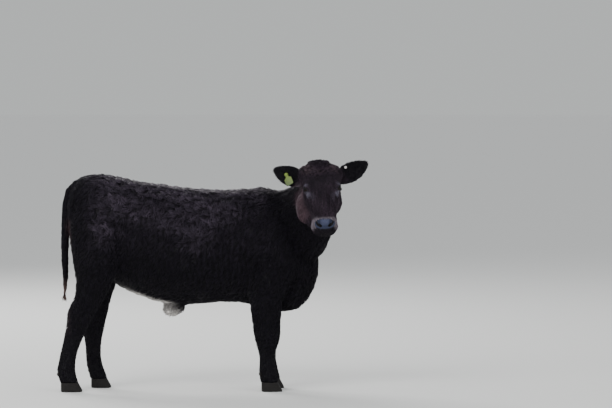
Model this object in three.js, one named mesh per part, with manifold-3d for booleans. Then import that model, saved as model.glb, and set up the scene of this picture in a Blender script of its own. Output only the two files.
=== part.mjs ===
// A weaned beef calf that stands with its hind feet stepped and turns its head to its right.
// Millimetres, +X towards the chest, +Y to the animal's left, +Z up, floor at Z = 0.
// Every outline is that of the coat's tips. Lofts make the masses of the body, which are joined
// into one flesh solid and then parted into the pieces that a person would name.

import * as THREE from 'three';
import { LoftGeometry } from 'three/addons/geometries/LoftGeometry.js';
import { mergeVertices } from 'three/addons/utils/BufferGeometryUtils.js';
import Module from 'manifold-3d';

const wasm = await Module();
wasm.setup();

// ---------------------------------------------------------------- driving dimensions

const gap = 0.4;                // between two pieces that meet
const hoofHeight = 50;          // sole to coronet
const toeReach = 27;            // how far the toe lies ahead of the coronet
const clawSpread = 23;          // each claw's centre from the leg's middle
const eyeRadius = 18.5;
const eyeSides = 12;
const eyePlace = { x: 152, y: 80, z: -36 };    // in the head's frame, left eye
const tagPlate = { wide: 42, tall: 66, neck: 16, thick: 2.4, corner: 6 };
const bossRadius = 10;
const tagButton = { radius: 14, thick: 3 };
const stemRadius = 3;
const studRadius = 7.5;
const kneeCut = 232;            // height of the cut under the knee
const hockCut = 318;
const wayOut = 900;             // cutting boxes reach this far, past every outline
const cutInset = 60;            // the cut across a leg keeps its height this far from the middle
const legMargin = 8;            // a leg's cut runs this far outside its own surface
const elbowCut = 402;           // these two are heights at the armpit and the groin
const stifleCut = 545;
const muzzleCut = 300;          // along the face, from the poll

// The head's frame: X runs down the face from the poll, Z out of the forehead, Y to its left.
const headOrigin = new THREE.Vector3(693, -288, 1230);
const headTurn = THREE.MathUtils.degToRad(-87);   // from +X round to its right
const headNod = THREE.MathUtils.degToRad(57);     // face line below the level
const headTilt = THREE.MathUtils.degToRad(-2.7);  // left ear a little high

// ---------------------------------------------------------------- lofts

const { cos, sin, sign, abs, PI } = Math;
const bowed = (value, power) => sign(value) * abs(value) ** (2 / power);

// Named sizes at stations, read smoothly in between. `steps` rings fill each gap.
function fillIn(stations, steps) {
  const names = Object.keys(stations[0]);
  const curve = new THREE.CubicInterpolant(
    stations.map((_, i) => i),
    stations.flatMap((station) => names.map((name) => station[name])),
    names.length,
  );
  const count = (stations.length - 1) * steps;
  return Array.from({ length: count + 1 }, (_, i) => {
    const values = curve.evaluate(i / steps);
    return Object.fromEntries(names.map((name, k) => [name, values[k]]));
  });
}

// One closed ring: an oval with its own power above and below its widest level.
function ovalRing({ centre, left, up, wide, above, below, crown = 2, keel = 2 }, sides) {
  return Array.from({ length: sides }, (_, k) => {
    const angle = (2 * PI * k) / sides;
    const power = sin(angle) > 0 ? crown : keel;
    const reach = sin(angle) > 0 ? above : below;
    return centre.clone()
      .addScaledVector(left, wide * bowed(cos(angle), power))
      .addScaledVector(up, reach * bowed(sin(angle), power));
  });
}

const capped = { capStart: true, capEnd: true };
const X = new THREE.Vector3(1, 0, 0);
const Y = new THREE.Vector3(0, 1, 0);
const Z = new THREE.Vector3(0, 0, 1);

// A mass that runs along X, with upright sections: the trunk, and the head in its own frame.
function levelLoft(stations, sides, steps = 2) {
  const rings = fillIn(stations, steps).map((s) => ovalRing({
    centre: new THREE.Vector3(s.x, 0, s.level), left: Y, up: Z, wide: s.wide,
    above: s.top - s.level, below: s.level - s.floor, crown: s.crown, keel: s.keel,
  }, sides));
  return new LoftGeometry(rings, capped);
}

// A limb that runs down, with level sections given by their front and back.
function limbLoft(stations, side, sides = 12, steps = 1) {
  const rings = fillIn(stations, steps).map((s) => ovalRing({
    centre: new THREE.Vector3((s.front + s.back) / 2, side * s.y, s.z), left: Y, up: X,
    wide: s.wide, above: (s.front - s.back) / 2, below: (s.front - s.back) / 2, crown: 2.2, keel: 2,
  }, sides));
  return new LoftGeometry(rings, capped);
}

// A mass that bends: sections stand square to the line through their centres.
function bentLoft(stations, leftAt, sides, steps = 2, grow = 0) {
  const filled = fillIn(stations, steps);
  const centres = filled.map((s) => new THREE.Vector3(s.x, s.y, s.z));
  const rings = filled.map((s, i) => {
    const before = centres[Math.max(0, i - 1)];
    const after = centres[Math.min(filled.length - 1, i + 1)];
    const ahead = after.clone().sub(before).normalize();
    const past = i === 0 ? -grow : i === filled.length - 1 ? grow : 0;
    const left = leftAt(ahead);
    left.addScaledVector(ahead, -left.dot(ahead)).normalize();
    const up = ahead.clone().cross(left);
    return ovalRing({
      centre: centres[i].clone().addScaledVector(ahead, past), left, up,
      wide: s.wide + grow, above: s.above + grow, below: s.below + grow,
    }, sides);
  });
  return new LoftGeometry(rings, capped);
}

const ellipsoid = ([x, y, z], [rx, ry, rz], sides = 10) =>
  new THREE.SphereGeometry(1, sides, Math.round(sides * 0.7)).scale(rx, ry, rz).translate(x, y, z);

// ---------------------------------------------------------------- solids

function solidOf(geometry, matrix = new THREE.Matrix4()) {
  const bare = new THREE.BufferGeometry();
  bare.setAttribute('position', geometry.attributes.position.clone());
  bare.setIndex(geometry.index);
  const merged = mergeVertices(bare.applyMatrix4(matrix), 1e-3);
  return new wasm.Manifold(new wasm.Mesh({
    numProp: 3,
    vertProperties: merged.attributes.position.array,
    triVerts: new Uint32Array(merged.index.array),
  }));
}

function geometryOf(solid) {
  const { vertProperties, triVerts } = solid.getMesh();
  const geometry = new THREE.BufferGeometry();
  geometry.setAttribute('position', new THREE.BufferAttribute(vertProperties, 3));
  geometry.setIndex(new THREE.BufferAttribute(triVerts, 1));
  const faceted = geometry.toNonIndexed();
  faceted.computeVertexNormals();
  return faceted;
}

// The main body of a solid, without the crumbs that a cut leaves where two faces all but meet.
const mainBody = (solid) => solid.decompose().sort((a, b) => b.volume() - a.volume())[0];

// A box from its lowest to its highest corner, grown on every side.
function boxOf([x0, y0, z0], [x1, y1, z1], grow = 0) {
  return new THREE.BoxGeometry(x1 - x0 + 2 * grow, y1 - y0 + 2 * grow, z1 - z0 + 2 * grow)
    .translate((x0 + x1) / 2, (y0 + y1) / 2, (z0 + z1) / 2);
}

// Parts a solid with a box: what lies inside it, and the rest, a gap away.
function parted(solid, low, high, matrix) {
  const inside = solid.intersect(solidOf(boxOf(low, high), matrix));
  const rest = solid.subtract(solidOf(boxOf(low, high, gap), matrix));
  return [inside, rest];
}

// ---------------------------------------------------------------- trunk

function trunkSolids() {
  const stations = [
    { x: -650, top: 1002, floor: 886, wide: 42, level: 945, crown: 2.0, keel: 2.0 },
    { x: -632, top: 1074, floor: 810, wide: 96, level: 950, crown: 2.0, keel: 2.0 },
    { x: -590, top: 1127, floor: 730, wide: 142, level: 945, crown: 2.1, keel: 2.0 },
    { x: -530, top: 1145, floor: 665, wide: 174, level: 940, crown: 2.3, keel: 2.0 },
    { x: -455, top: 1141, floor: 606, wide: 190, level: 935, crown: 2.5, keel: 2.0 },
    { x: -375, top: 1128, floor: 545, wide: 197, level: 920, crown: 2.6, keel: 1.9 },
    { x: -290, top: 1110, floor: 506, wide: 202, level: 870, crown: 2.6, keel: 2.0 },
    { x: -190, top: 1095, floor: 470, wide: 212, level: 800, crown: 2.5, keel: 2.1 },
    { x: -70, top: 1080, floor: 450, wide: 224, level: 765, crown: 2.4, keel: 2.1 },
    { x: 50, top: 1068, floor: 456, wide: 230, level: 755, crown: 2.3, keel: 2.1 },
    { x: 160, top: 1061, floor: 466, wide: 226, level: 755, crown: 2.2, keel: 2.1 },
    { x: 265, top: 1064, floor: 463, wide: 212, level: 765, crown: 2.0, keel: 2.0 },
    { x: 355, top: 1069, floor: 442, wide: 196, level: 780, crown: 1.8, keel: 1.9 },
    { x: 440, top: 1067, floor: 414, wide: 185, level: 775, crown: 1.8, keel: 1.8 },
    { x: 515, top: 1050, floor: 411, wide: 170, level: 745, crown: 1.9, keel: 1.7 },
    { x: 575, top: 1000, floor: 427, wide: 148, level: 710, crown: 2.0, keel: 1.7 },
    { x: 628, top: 920, floor: 473, wide: 114, level: 685, crown: 2.0, keel: 1.8 },
    { x: 664, top: 846, floor: 543, wide: 76, level: 675, crown: 2.0, keel: 2.0 },
    { x: 684, top: 764, floor: 612, wide: 34, level: 672, crown: 2.0, keel: 2.0 },
  ];
  const navel = ellipsoid([-84, 0, 438], [66, 24, 40], 12);
  const hook = (side) => ellipsoid([-395, side * 138, 1035], [62, 46, 48], 12);
  const withers = ellipsoid([372, 0, 1000], [120, 62, 70], 12);
  return [levelLoft(stations, 20, 1), navel, hook(-1), hook(1), withers].map((g) => solidOf(g));
}

// ---------------------------------------------------------------- neck

function neckSolid() {
  const stations = [
    { x: 400, y: 0, z: 832, wide: 150, above: 232, below: 250 },
    { x: 500, y: -14, z: 858, wide: 143, above: 216, below: 246 },
    { x: 588, y: -56, z: 914, wide: 129, above: 186, below: 228 },
    { x: 648, y: -116, z: 986, wide: 116, above: 158, below: 188 },
    { x: 680, y: -172, z: 1052, wide: 108, above: 134, below: 148 },
    { x: 692, y: -226, z: 1098, wide: 98, above: 112, below: 104 },
  ];
  return solidOf(bentLoft(stations, (ahead) => Z.clone().cross(ahead), 16));
}

// ---------------------------------------------------------------- legs

// The thigh is alike on both sides; the right foot stands further back than the left.
const thigh = [
  { z: 1010, back: -560, front: -410, y: 72, wide: 58 },
  { z: 940, back: -624, front: -352, y: 92, wide: 96 },
  { z: 850, back: -642, front: -334, y: 104, wide: 106 },
  { z: 760, back: -634, front: -342, y: 111, wide: 105 },
];
const rightHindLeg = [
  ...thigh,
  { z: 680, back: -621, front: -364, y: 116, wide: 96 },
  { z: 612, back: -608, front: -390, y: 119, wide: 82 },
  { z: 552, back: -602, front: -420, y: 121, wide: 67 },
  { z: 500, back: -610, front: -448, y: 123, wide: 54 },
  { z: 457, back: -634, front: -474, y: 125, wide: 46 },
  { z: 415, back: -650, front: -498, y: 126, wide: 46 },
  { z: 370, back: -652, front: -524, y: 127, wide: 46 },
  { z: 325, back: -656, front: -548, y: 127, wide: 41 },
  { z: 272, back: -668, front: -571, y: 127, wide: 35 },
  { z: 220, back: -680, front: -592, y: 127, wide: 33 },
  { z: 168, back: -691, front: -604, y: 127, wide: 35 },
  { z: 122, back: -702, front: -607, y: 127, wide: 43 },
  { z: 90, back: -699, front: -603, y: 127, wide: 44 },
  { z: 66, back: -690, front: -596, y: 127, wide: 44 },
  { z: hoofHeight + gap, back: -686, front: -590, y: 127, wide: 46 },
];
const leftHindLeg = [
  ...thigh,
  { z: 680, back: -618, front: -362, y: 116, wide: 96 },
  { z: 612, back: -602, front: -384, y: 118, wide: 82 },
  { z: 552, back: -590, front: -404, y: 119, wide: 67 },
  { z: 500, back: -584, front: -424, y: 120, wide: 54 },
  { z: 457, back: -595, front: -436, y: 121, wide: 46 },
  { z: 415, back: -604, front: -443, y: 121, wide: 46 },
  { z: 370, back: -602, front: -456, y: 121, wide: 46 },
  { z: 325, back: -591, front: -467, y: 121, wide: 41 },
  { z: 272, back: -575, front: -479, y: 121, wide: 35 },
  { z: 220, back: -568, front: -486, y: 121, wide: 33 },
  { z: 168, back: -565, front: -486, y: 121, wide: 35 },
  { z: 122, back: -562, front: -478, y: 121, wide: 43 },
  { z: 90, back: -552, front: -466, y: 121, wide: 44 },
  { z: 66, back: -546, front: -458, y: 121, wide: 44 },
  { z: hoofHeight + gap, back: -542, front: -452, y: 121, wide: 46 },
];
const rightForeLeg = [
  { z: 960, back: 400, front: 500, y: 84, wide: 46 },
  { z: 880, back: 362, front: 548, y: 104, wide: 72 },
  { z: 780, back: 334, front: 584, y: 114, wide: 82 },
  { z: 690, back: 312, front: 594, y: 118, wide: 84 },
  { z: 612, back: 300, front: 566, y: 119, wide: 80 },
  { z: 545, back: 300, front: 522, y: 117, wide: 71 },
  { z: 480, back: 314, front: 496, y: 114, wide: 61 },
  { z: 420, back: 326, front: 488, y: 112, wide: 54 },
  { z: 362, back: 333, front: 483, y: 110, wide: 48 },
  { z: 315, back: 339, front: 480, y: 109, wide: 46 },
  { z: 280, back: 345, front: 479, y: 108, wide: 46 },
  { z: 250, back: 353, front: 473, y: 108, wide: 43 },
  { z: 222, back: 364, front: 457, y: 107, wide: 36 },
  { z: 186, back: 371, front: 451, y: 107, wide: 32 },
  { z: 150, back: 371, front: 451, y: 107, wide: 33 },
  { z: 116, back: 369, front: 457, y: 107, wide: 41 },
  { z: 86, back: 371, front: 463, y: 107, wide: 43 },
  { z: 66, back: 375, front: 467, y: 107, wide: 43 },
  { z: hoofHeight + gap, back: 377, front: 471, y: 107, wide: 45 },
];
const leftForeStep = 8;         // the left forefoot stands this far ahead of the right
const leftForeLeg = rightForeLeg.map((s) => {
  const share = THREE.MathUtils.smoothstep(elbowCut - s.z, 0, elbowCut);
  return { ...s, back: s.back + leftForeStep * share, front: s.front + leftForeStep * share };
});

const legs = [
  { name: 'foreleg_right', outline: rightForeLeg, side: -1, cut: elbowCut, slope: 35, joint: kneeCut },
  { name: 'foreleg_left', outline: leftForeLeg, side: 1, cut: elbowCut, slope: 35, joint: kneeCut },
  { name: 'hindleg_right', outline: rightHindLeg, side: -1, cut: stifleCut, slope: 12, joint: hockCut },
  { name: 'hindleg_left', outline: leftHindLeg, side: 1, cut: stifleCut, slope: 12, joint: hockCut },
];

// What a leg takes of the flesh: its own loft, a little fatter, below a plane that falls inwards.
function legCutter({ outline, side, cut, slope }, grow) {
  const fatter = outline.map((s) => ({
    ...s, back: s.back - grow, front: s.front + grow, wide: s.wide + grow,
  }));
  fatter.at(-1).z -= grow;
  const plane = new THREE.Matrix4().makeRotationX(side * THREE.MathUtils.degToRad(slope))
    .setPosition(0, side * cutInset, cut);
  const below = boxOf([-wayOut, -wayOut, -wayOut], [wayOut, wayOut, 0], grow);
  return solidOf(limbLoft(fatter, side)).intersect(solidOf(below, plane));
}

// ---------------------------------------------------------------- head

const headMatrix = new THREE.Matrix4().makeRotationY(headTilt)
  .multiply(new THREE.Matrix4().makeRotationZ(headTurn))
  .multiply(new THREE.Matrix4().makeRotationY(headNod))
  .setPosition(headOrigin);

function headSolids() {
  const stations = [
    { x: -8, top: -44, floor: -88, wide: 30, level: -66, crown: 2.0, keel: 2.0 },
    { x: 3, top: -18, floor: -112, wide: 58, level: -62, crown: 2.0, keel: 2.0 },
    { x: 24, top: 2, floor: -142, wide: 83, level: -58, crown: 2.1, keel: 2.0 },
    { x: 58, top: 10, floor: -172, wide: 97, level: -60, crown: 2.3, keel: 1.9 },
    { x: 98, top: 10, floor: -196, wide: 103, level: -64, crown: 2.6, keel: 1.8 },
    { x: 138, top: 4, floor: -208, wide: 103, level: -72, crown: 2.6, keel: 1.8 },
    { x: 178, top: -5, floor: -202, wide: 98, level: -84, crown: 2.3, keel: 1.8 },
    { x: 218, top: -12, floor: -186, wide: 88, level: -90, crown: 2.1, keel: 1.8 },
    { x: 258, top: -18, floor: -167, wide: 77, level: -88, crown: 2.1, keel: 1.8 },
    { x: 294, top: -21, floor: -155, wide: 68, level: -86, crown: 2.3, keel: 1.9 },
    { x: 326, top: -23, floor: -156, wide: 66, level: -88, crown: 2.7, keel: 2.0 },
    { x: 346, top: -34, floor: -160, wide: 66, level: -94, crown: 3.0, keel: 2.0 },
    { x: 364, top: -51, floor: -156, wide: 62, level: -98, crown: 3.0, keel: 2.0 },
    { x: 380, top: -69, floor: -139, wide: 51, level: -100, crown: 2.6, keel: 2.0 },
    { x: 390, top: -87, floor: -118, wide: 28, level: -102, crown: 2.2, keel: 2.0 },
  ];
  const pairs = [
    ellipsoid([150, 74, -38], [38, 29, 31]),        // brow and orbit
    ellipsoid([158, 68, -120], [96, 37, 62]),       // cheek muscle
    ellipsoid([50, 82, -74], [44, 38, 38]),         // root of the ear
    ellipsoid([346, 42, -94], [32, 27, 32]),        // upper lip
  ];
  const middle = [
    ellipsoid([348, 0, -129], [34, 36, 30]),        // chin
    ellipsoid([12, -9, -24], [36, 70, 36]),         // tuft of the poll
    ellipsoid([36, -8, -40], [44, 112, 44]),        // curls between the ears
    ellipsoid([190, -88, -160], [100, 52, 50]),     // jowl pushed up by the turned neck
    ellipsoid([258, -62, -134], [66, 40, 38]),      // and its end at the lips
  ];
  const mirror = new THREE.Matrix4().makeScale(1, -1, 1);
  const left = pairs.map((g) => solidOf(g, headMatrix));
  const right = pairs.map((g) => solidOf(flipped(g.clone().applyMatrix4(mirror)), headMatrix));
  return [solidOf(levelLoft(stations, 20, 1), headMatrix), ...left, ...right,
    ...middle.map((g) => solidOf(g, headMatrix))];
}

// A mirrored geometry has its faces turned; this turns them back.
function flipped(geometry) {
  const { array } = geometry.index;
  for (let i = 0; i < array.length; i += 3) {
    [array[i + 1], array[i + 2]] = [array[i + 2], array[i + 1]];
  }
  return geometry;
}

// Lids and nostrils are cut out of the head for both sides.
function headHollows() {
  const hollows = [];
  for (const side of [-1, 1]) {
    const { x, y, z } = eyePlace;
    hollows.push(ellipsoid([x, side * y, z], Array(3).fill(eyeRadius + gap), eyeSides));
    hollows.push(ellipsoid([x + 5, side * (y + 15), z + 10], [20, 14, 12]));
    hollows.push(ellipsoid([354, side * 33, -43], [14, 10, 14], 10));
  }
  return hollows.map((g) => solidOf(g, headMatrix));
}

// ---------------------------------------------------------------- ears

// In the ear's frame X runs to the tip, Y across it and Z out of its hollow side.
const earStations = [
  { x: -18, wide: 34, cup: 16, thick: 22, lean: 0 },
  { x: 8, wide: 44, cup: 24, thick: 15, lean: 0 },
  { x: 36, wide: 53, cup: 28, thick: 10, lean: 1 },
  { x: 71, wide: 56, cup: 25, thick: 8, lean: 1 },
  { x: 106, wide: 50, cup: 18, thick: 7, lean: 0 },
  { x: 134, wide: 38, cup: 11, thick: 6.5, lean: 2 },
  { x: 157, wide: 23, cup: 5, thick: 6, lean: 4 },
  { x: 172, wide: 8, cup: 2, thick: 4, lean: 5 },
];

// Each ear's root, the way to its tip and the way its hollow faces, in the head's frame.
const earMargin = 12;           // its cut runs this far outside its own surface
const earRoot = 30;             // an ear is parted from the head this far along it
const ears = [
  {
    name: 'ear_right', side: -1, root: [66, -99, -82],
    along: [-0.51, -0.84, -0.16], hollow: [0.5, -0.12, 0.85],
  },
  {
    name: 'ear_left', side: 1, root: [64, 97, -82],
    along: [-0.38, 0.92, 0.14], hollow: [0.5, 0.12, 0.85],
  },
];

const [rightEar, leftEar] = ears;

function earMatrix({ root, along, hollow }) {
  const x = new THREE.Vector3(...along).normalize();
  const y = new THREE.Vector3(...hollow).cross(x).normalize();
  const z = x.clone().cross(y);
  return headMatrix.clone().multiply(
    new THREE.Matrix4().makeBasis(x, y, z).setPosition(...root));
}

function earGeometry(side, grow = 0) {
  const count = 14;
  const rings = fillIn(earStations, 1).map((s) => Array.from({ length: count }, (_, k) => {
    const angle = (2 * PI * k) / count;
    const across = (s.wide + grow) * cos(angle) + side * s.lean;
    return new THREE.Vector3(s.x, across, (s.thick + grow) * sin(angle) - s.cup * sin(angle) ** 2);
  }));
  return new LoftGeometry(rings, capped);
}

// What an ear takes of the head: its own loft, a little fatter, beyond its root.
function earCutter(ear, grow) {
  const beyond = boxOf([earRoot, -120, -120], [300, 120, 120], grow);
  return solidOf(earGeometry(ear.side, earMargin + grow), earMatrix(ear))
    .intersect(solidOf(beyond, earMatrix(ear)));
}

// ---------------------------------------------------------------- ear tags

// A flag hangs on a pin through the right ear, and a stud goes through the left.
const flagPin = new THREE.Vector3(96, 0, -5);               // in the ear's frame
const flagDown = new THREE.Vector3(-0.72, 0.66, 0.3).normalize();
const studPlace = new THREE.Vector3(56, 37, -8);
const studTilt = THREE.MathUtils.degToRad(25);

function flagGeometry() {
  const { wide, tall, neck, thick, corner } = tagPlate;
  const half = wide / 2;
  const shape = new THREE.Shape();
  shape.absarc(0, 0, neck / 2, PI, 2 * PI, false);
  shape.lineTo(neck / 2, neck);
  shape.lineTo(half, neck * 1.6);
  shape.lineTo(half, tall - corner);
  shape.absarc(half - corner, tall - corner, corner, 0, PI / 2, false);
  shape.absarc(corner - half, tall - corner, corner, PI / 2, PI, false);
  shape.lineTo(-half, neck * 1.6);
  shape.lineTo(-neck / 2, neck);
  shape.closePath();
  return new THREE.ExtrudeGeometry(shape, { depth: thick, bevelEnabled: false, curveSegments: 5 })
    .translate(0, 0, -thick / 2);
}

// A body of revolution about Z, its outline given from the bottom up.
const turned = (outline, sides = 16) =>
  new THREE.LatheGeometry(outline.map(([r, z]) => new THREE.Vector2(r, z)), sides).rotateX(PI / 2);

function tagSolids() {
  const { thick, radius } = tagButton;
  const onPin = earMatrix(rightEar).multiply(new THREE.Matrix4().setPosition(flagPin));
  const out = new THREE.Vector3(0, 0, 1).addScaledVector(flagDown, -flagDown.z).normalize();
  const hung = new THREE.Matrix4().makeBasis(flagDown.clone().cross(out), flagDown, out);
  const boss = turned([[0, -4], [bossRadius, -4], [bossRadius, 4], [6, 8], [0, 8]]);
  const button = turned([[0, -26 - thick], [radius, -26 - thick], [radius, -26],
    [stemRadius, -26], [stemRadius, -4 - gap], [0, -4 - gap]]);
  const onStud = earMatrix(leftEar)
    .multiply(new THREE.Matrix4().makeRotationX(studTilt).setPosition(studPlace));
  const stud = turned([[0, -19], [studRadius, -19], [studRadius, -16], [stemRadius, -16],
    [stemRadius, 1], [studRadius, 1], [studRadius * 0.8, 5], [0, 5]]);
  const hole = new THREE.CylinderGeometry(stemRadius + gap, stemRadius + gap, 36, 16)
    .rotateX(PI / 2).translate(0, 0, -12);
  return {
    flag: solidOf(flagGeometry(), onPin.clone().multiply(hung)).add(solidOf(boss, onPin)),
    button: solidOf(button, onPin),
    stud: solidOf(stud, onStud),
    holes: [solidOf(hole, onPin), solidOf(hole, onStud)],
  };
}

// ---------------------------------------------------------------- tail

const tailStations = [
  { x: -560, y: 0, z: 1092, wide: 32, above: 32, below: 32 },
  { x: -606, y: 0, z: 1092, wide: 31, above: 32, below: 30 },
  { x: -640, y: -1, z: 1058, wide: 30, above: 30, below: 28 },
  { x: -657, y: -3, z: 990, wide: 28, above: 27, below: 26 },
  { x: -664, y: -5, z: 905, wide: 27, above: 25, below: 24 },
  { x: -668, y: -8, z: 805, wide: 26, above: 24, below: 22 },
  { x: -668, y: -10, z: 705, wide: 23, above: 20, below: 19 },
  { x: -666, y: -10, z: 630, wide: 19, above: 17, below: 15 },
  { x: -666, y: -10, z: 570, wide: 14, above: 12, below: 11 },
  { x: -669, y: -10, z: 528, wide: 7, above: 7, below: 6 },
  { x: -671, y: -10, z: 500, wide: 2, above: 2, below: 2 },
];
const switchTop = 700;          // the long hair of the switch starts here
const tailSolid = (grow) => solidOf(bentLoft(tailStations, () => Y.clone(), 10, 1, grow));

// ---------------------------------------------------------------- hooves

// One claw, from the coronet down to the sole: rounded outside, flat inside, narrow at the toe.
function clawGeometry({ outline }, side, inner) {
  const foot = outline.at(-1);
  const heights = [hoofHeight, hoofHeight * 0.55, 6, 0];
  const outerWide = 22;
  const innerWide = clawSpread - 3;
  const soleInset = 3;          // the wall's lower edge is rounded by this much
  const count = 12;
  const rings = heights.map((z) => {
    const drop = 1 - z / hoofHeight;
    const inset = z === 0 ? soleInset : 0;
    const back = foot.back + 4 + inset;
    const front = foot.front - 2 + toeReach * drop - inset;
    const middle = (back + front) / 2 - 6;
    return Array.from({ length: count }, (_, k) => {
      const angle = (2 * PI * k) / count;
      const outward = sign(cos(angle)) === inner * -side;
      const wide = (outward ? outerWide + 2 * drop : innerWide) - inset;
      const toe = Math.max(0, sin(angle));
      const reach = sin(angle) > 0 ? front - middle : middle - back;
      const across = wide * bowed(cos(angle), outward ? 2.2 : 3.2) * (1 - 0.25 * toe ** 2);
      const y = side * foot.y - inner * side * clawSpread + across;
      return new THREE.Vector3(middle + reach * sin(angle), y, z);
    });
  });
  return new LoftGeometry(rings, capped);
}

function dewclawPlace({ outline }, side, inner) {
  const height = 94;
  const { back, y } = outline.find((s) => s.z <= height);
  return [back + 3, side * y - inner * side * 19, height];
}
const dewclawSize = [13, 11, 17];

// ---------------------------------------------------------------- materials

const finish = (color, roughness) => new THREE.MeshStandardMaterial({ color, roughness, metalness: 0 });
const coat = finish(0x1d1714, 0.9);
const horn = finish(0x2a2522, 0.55);
const eyeball = finish(0x120c08, 0.12);
const tagYellow = finish(0xc3d23a, 0.45);
const tagWhite = finish(0xe6e4de, 0.4);

// ---------------------------------------------------------------- assembly

const cow = new THREE.Group();
cow.name = 'cow';

function add(name, geometry, material, parent = cow) {
  const mesh = new THREE.Mesh(geometry, material);
  mesh.name = name;
  parent.add(mesh);
  return mesh;
}

const headGroup = new THREE.Group();
headMatrix.decompose(headGroup.position, headGroup.quaternion, headGroup.scale);
cow.add(headGroup);

const tags = tagSolids();
const earSolids = ears.map((ear) => solidOf(earGeometry(ear.side), earMatrix(ear)));

let flesh = wasm.Manifold.union([
  ...trunkSolids(), neckSolid(), ...headSolids(), ...earSolids,
  ...legs.map(({ outline, side }) => solidOf(limbLoft(outline, side))),
]);
for (const hollow of [...headHollows(), ...tags.holes]) flesh = flesh.subtract(hollow);
flesh = flesh.subtract(tailSolid(gap));

// Claws and dewclaws, each a piece of its own.
for (const { name, outline, side } of legs) {
  for (const [inner, place] of [[1, 'inner'], [-1, 'outer']]) {
    add(`claw_${name}_${place}`, clawGeometry({ outline }, side, inner), horn);
    const at = dewclawPlace({ outline }, side, inner);
    const grown = dewclawSize.map((r) => r + gap);
    flesh = flesh.subtract(solidOf(ellipsoid(at, grown, 6)));
    add(`dewclaw_${name}_${place}`, ellipsoid([0, 0, 0], dewclawSize, 6), horn).position.set(...at);
  }
}

// Legs come off first, then what hangs on the head, then the head and the neck.
const pieces = {};
for (const leg of legs) {
  const whole = flesh.intersect(legCutter(leg, legMargin));
  flesh = flesh.subtract(legCutter(leg, legMargin + gap));
  const below = [[-900, -400, -50], [900, 400, leg.joint]];
  [pieces[`${leg.name}_lower`], pieces[`${leg.name}_upper`]] = parted(whole, ...below);
}
let head;
[head, flesh] = parted(flesh, [-80, -300, -204], [430, 300, 90], headMatrix);
for (const ear of ears) {
  pieces[ear.name] = head.intersect(earCutter(ear, 0));
  head = head.subtract(earCutter(ear, gap));
}
[pieces.muzzle, pieces.head] = parted(head, [muzzleCut, -120, -165], [440, 120, 80], headMatrix);
const neckTurn = new THREE.Matrix4().makeRotationFromEuler(new THREE.Euler(0, -0.42, -0.32, 'ZYX'))
  .setPosition(512, -14, 858);
[pieces.neck, pieces.trunk] = parted(flesh, [0, -420, -420], [600, 420, 420], neckTurn);
[pieces.tail_switch, pieces.tail] = parted(tailSolid(0), [-760, -80, 400], [-600, 80, switchTop]);

for (const [name, solid] of Object.entries(pieces)) add(name, geometryOf(mainBody(solid)), coat);
add('eartag_flag', geometryOf(tags.flag), tagYellow);
add('eartag_button', geometryOf(tags.button), tagYellow);
add('eartag_stud', geometryOf(tags.stud), tagWhite);

for (const side of [1, -1]) {
  const ball = new THREE.SphereGeometry(eyeRadius, eyeSides, 10);
  const eye = add(side > 0 ? 'eye_left' : 'eye_right', ball, eyeball, headGroup);
  eye.position.set(eyePlace.x, side * eyePlace.y, eyePlace.z);
}

// The origin lies on the floor under the middle of the whole outline.
const outline = new THREE.Box3().setFromObject(cow);
const middle = outline.getCenter(new THREE.Vector3());
cow.position.set(-middle.x, -middle.y, -outline.min.z);

export default cow;
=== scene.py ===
# Young cow, a still life-size model: skin, coat, eyes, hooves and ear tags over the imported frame
import math
from contextlib import contextmanager

import bpy
import numpy as np
from mathutils import Matrix, Vector
from mathutils.bvhtree import BVHTree
from mathutils.kdtree import KDTree


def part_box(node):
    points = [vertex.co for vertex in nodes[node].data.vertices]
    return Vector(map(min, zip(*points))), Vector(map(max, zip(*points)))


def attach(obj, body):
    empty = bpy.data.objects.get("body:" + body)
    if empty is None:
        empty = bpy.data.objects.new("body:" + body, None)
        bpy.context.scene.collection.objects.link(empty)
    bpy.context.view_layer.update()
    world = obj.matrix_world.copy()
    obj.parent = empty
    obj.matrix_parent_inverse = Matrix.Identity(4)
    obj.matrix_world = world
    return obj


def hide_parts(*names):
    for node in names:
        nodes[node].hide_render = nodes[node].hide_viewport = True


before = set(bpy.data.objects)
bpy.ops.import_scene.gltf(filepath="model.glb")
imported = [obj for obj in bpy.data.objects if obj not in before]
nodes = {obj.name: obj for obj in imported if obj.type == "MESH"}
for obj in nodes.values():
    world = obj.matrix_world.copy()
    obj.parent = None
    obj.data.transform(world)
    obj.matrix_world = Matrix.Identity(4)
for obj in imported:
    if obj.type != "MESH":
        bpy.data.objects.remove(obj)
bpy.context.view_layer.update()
mm = 0.001

# where things are, in the calf's own millimetres, as the solids were drawn

pose = {
    "headOrigin": (693, -288, 1230),   # top of the poll
    "headTilt": -2.7,                  # degrees, left ear a little high
    "headTurn": -87.0,                 # from the chest round to the right
    "headNod": 57.0,                   # face line below the level
    "eye": (152, 80, -36),             # left eye in the head's frame
    "eyeRadius": 18.5,
    "ears": {                          # root, way along it, way its hollow faces
        "right": ((66, -99, -82), (-0.51, -0.84, -0.16), (0.5, -0.12, 0.85)),
        "left": ((64, 97, -82), (-0.38, 0.92, 0.14), (0.5, 0.12, 0.85)),
    },
}

headTurning = (
    Matrix.Rotation(math.radians(pose["headTilt"]), 3, "Y")
    @ Matrix.Rotation(math.radians(pose["headTurn"]), 3, "Z")
    @ Matrix.Rotation(math.radians(pose["headNod"]), 3, "Y")
)
eyeCorners = [Vector(corner) for name in ("eye_left", "eye_right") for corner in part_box(name)]
betweenEyes = Vector((pose["eye"][0], 0, pose["eye"][2])) * mm
headAt = sum(eyeCorners, Vector()) / 4 - headTurning @ betweenEyes
bodyOrigin = headAt - Vector(pose["headOrigin"]) * mm
headAxes = np.array(headTurning)       # columns: down the face, to its left, out of the forehead
bodyAt = np.array(bodyOrigin)


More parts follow.
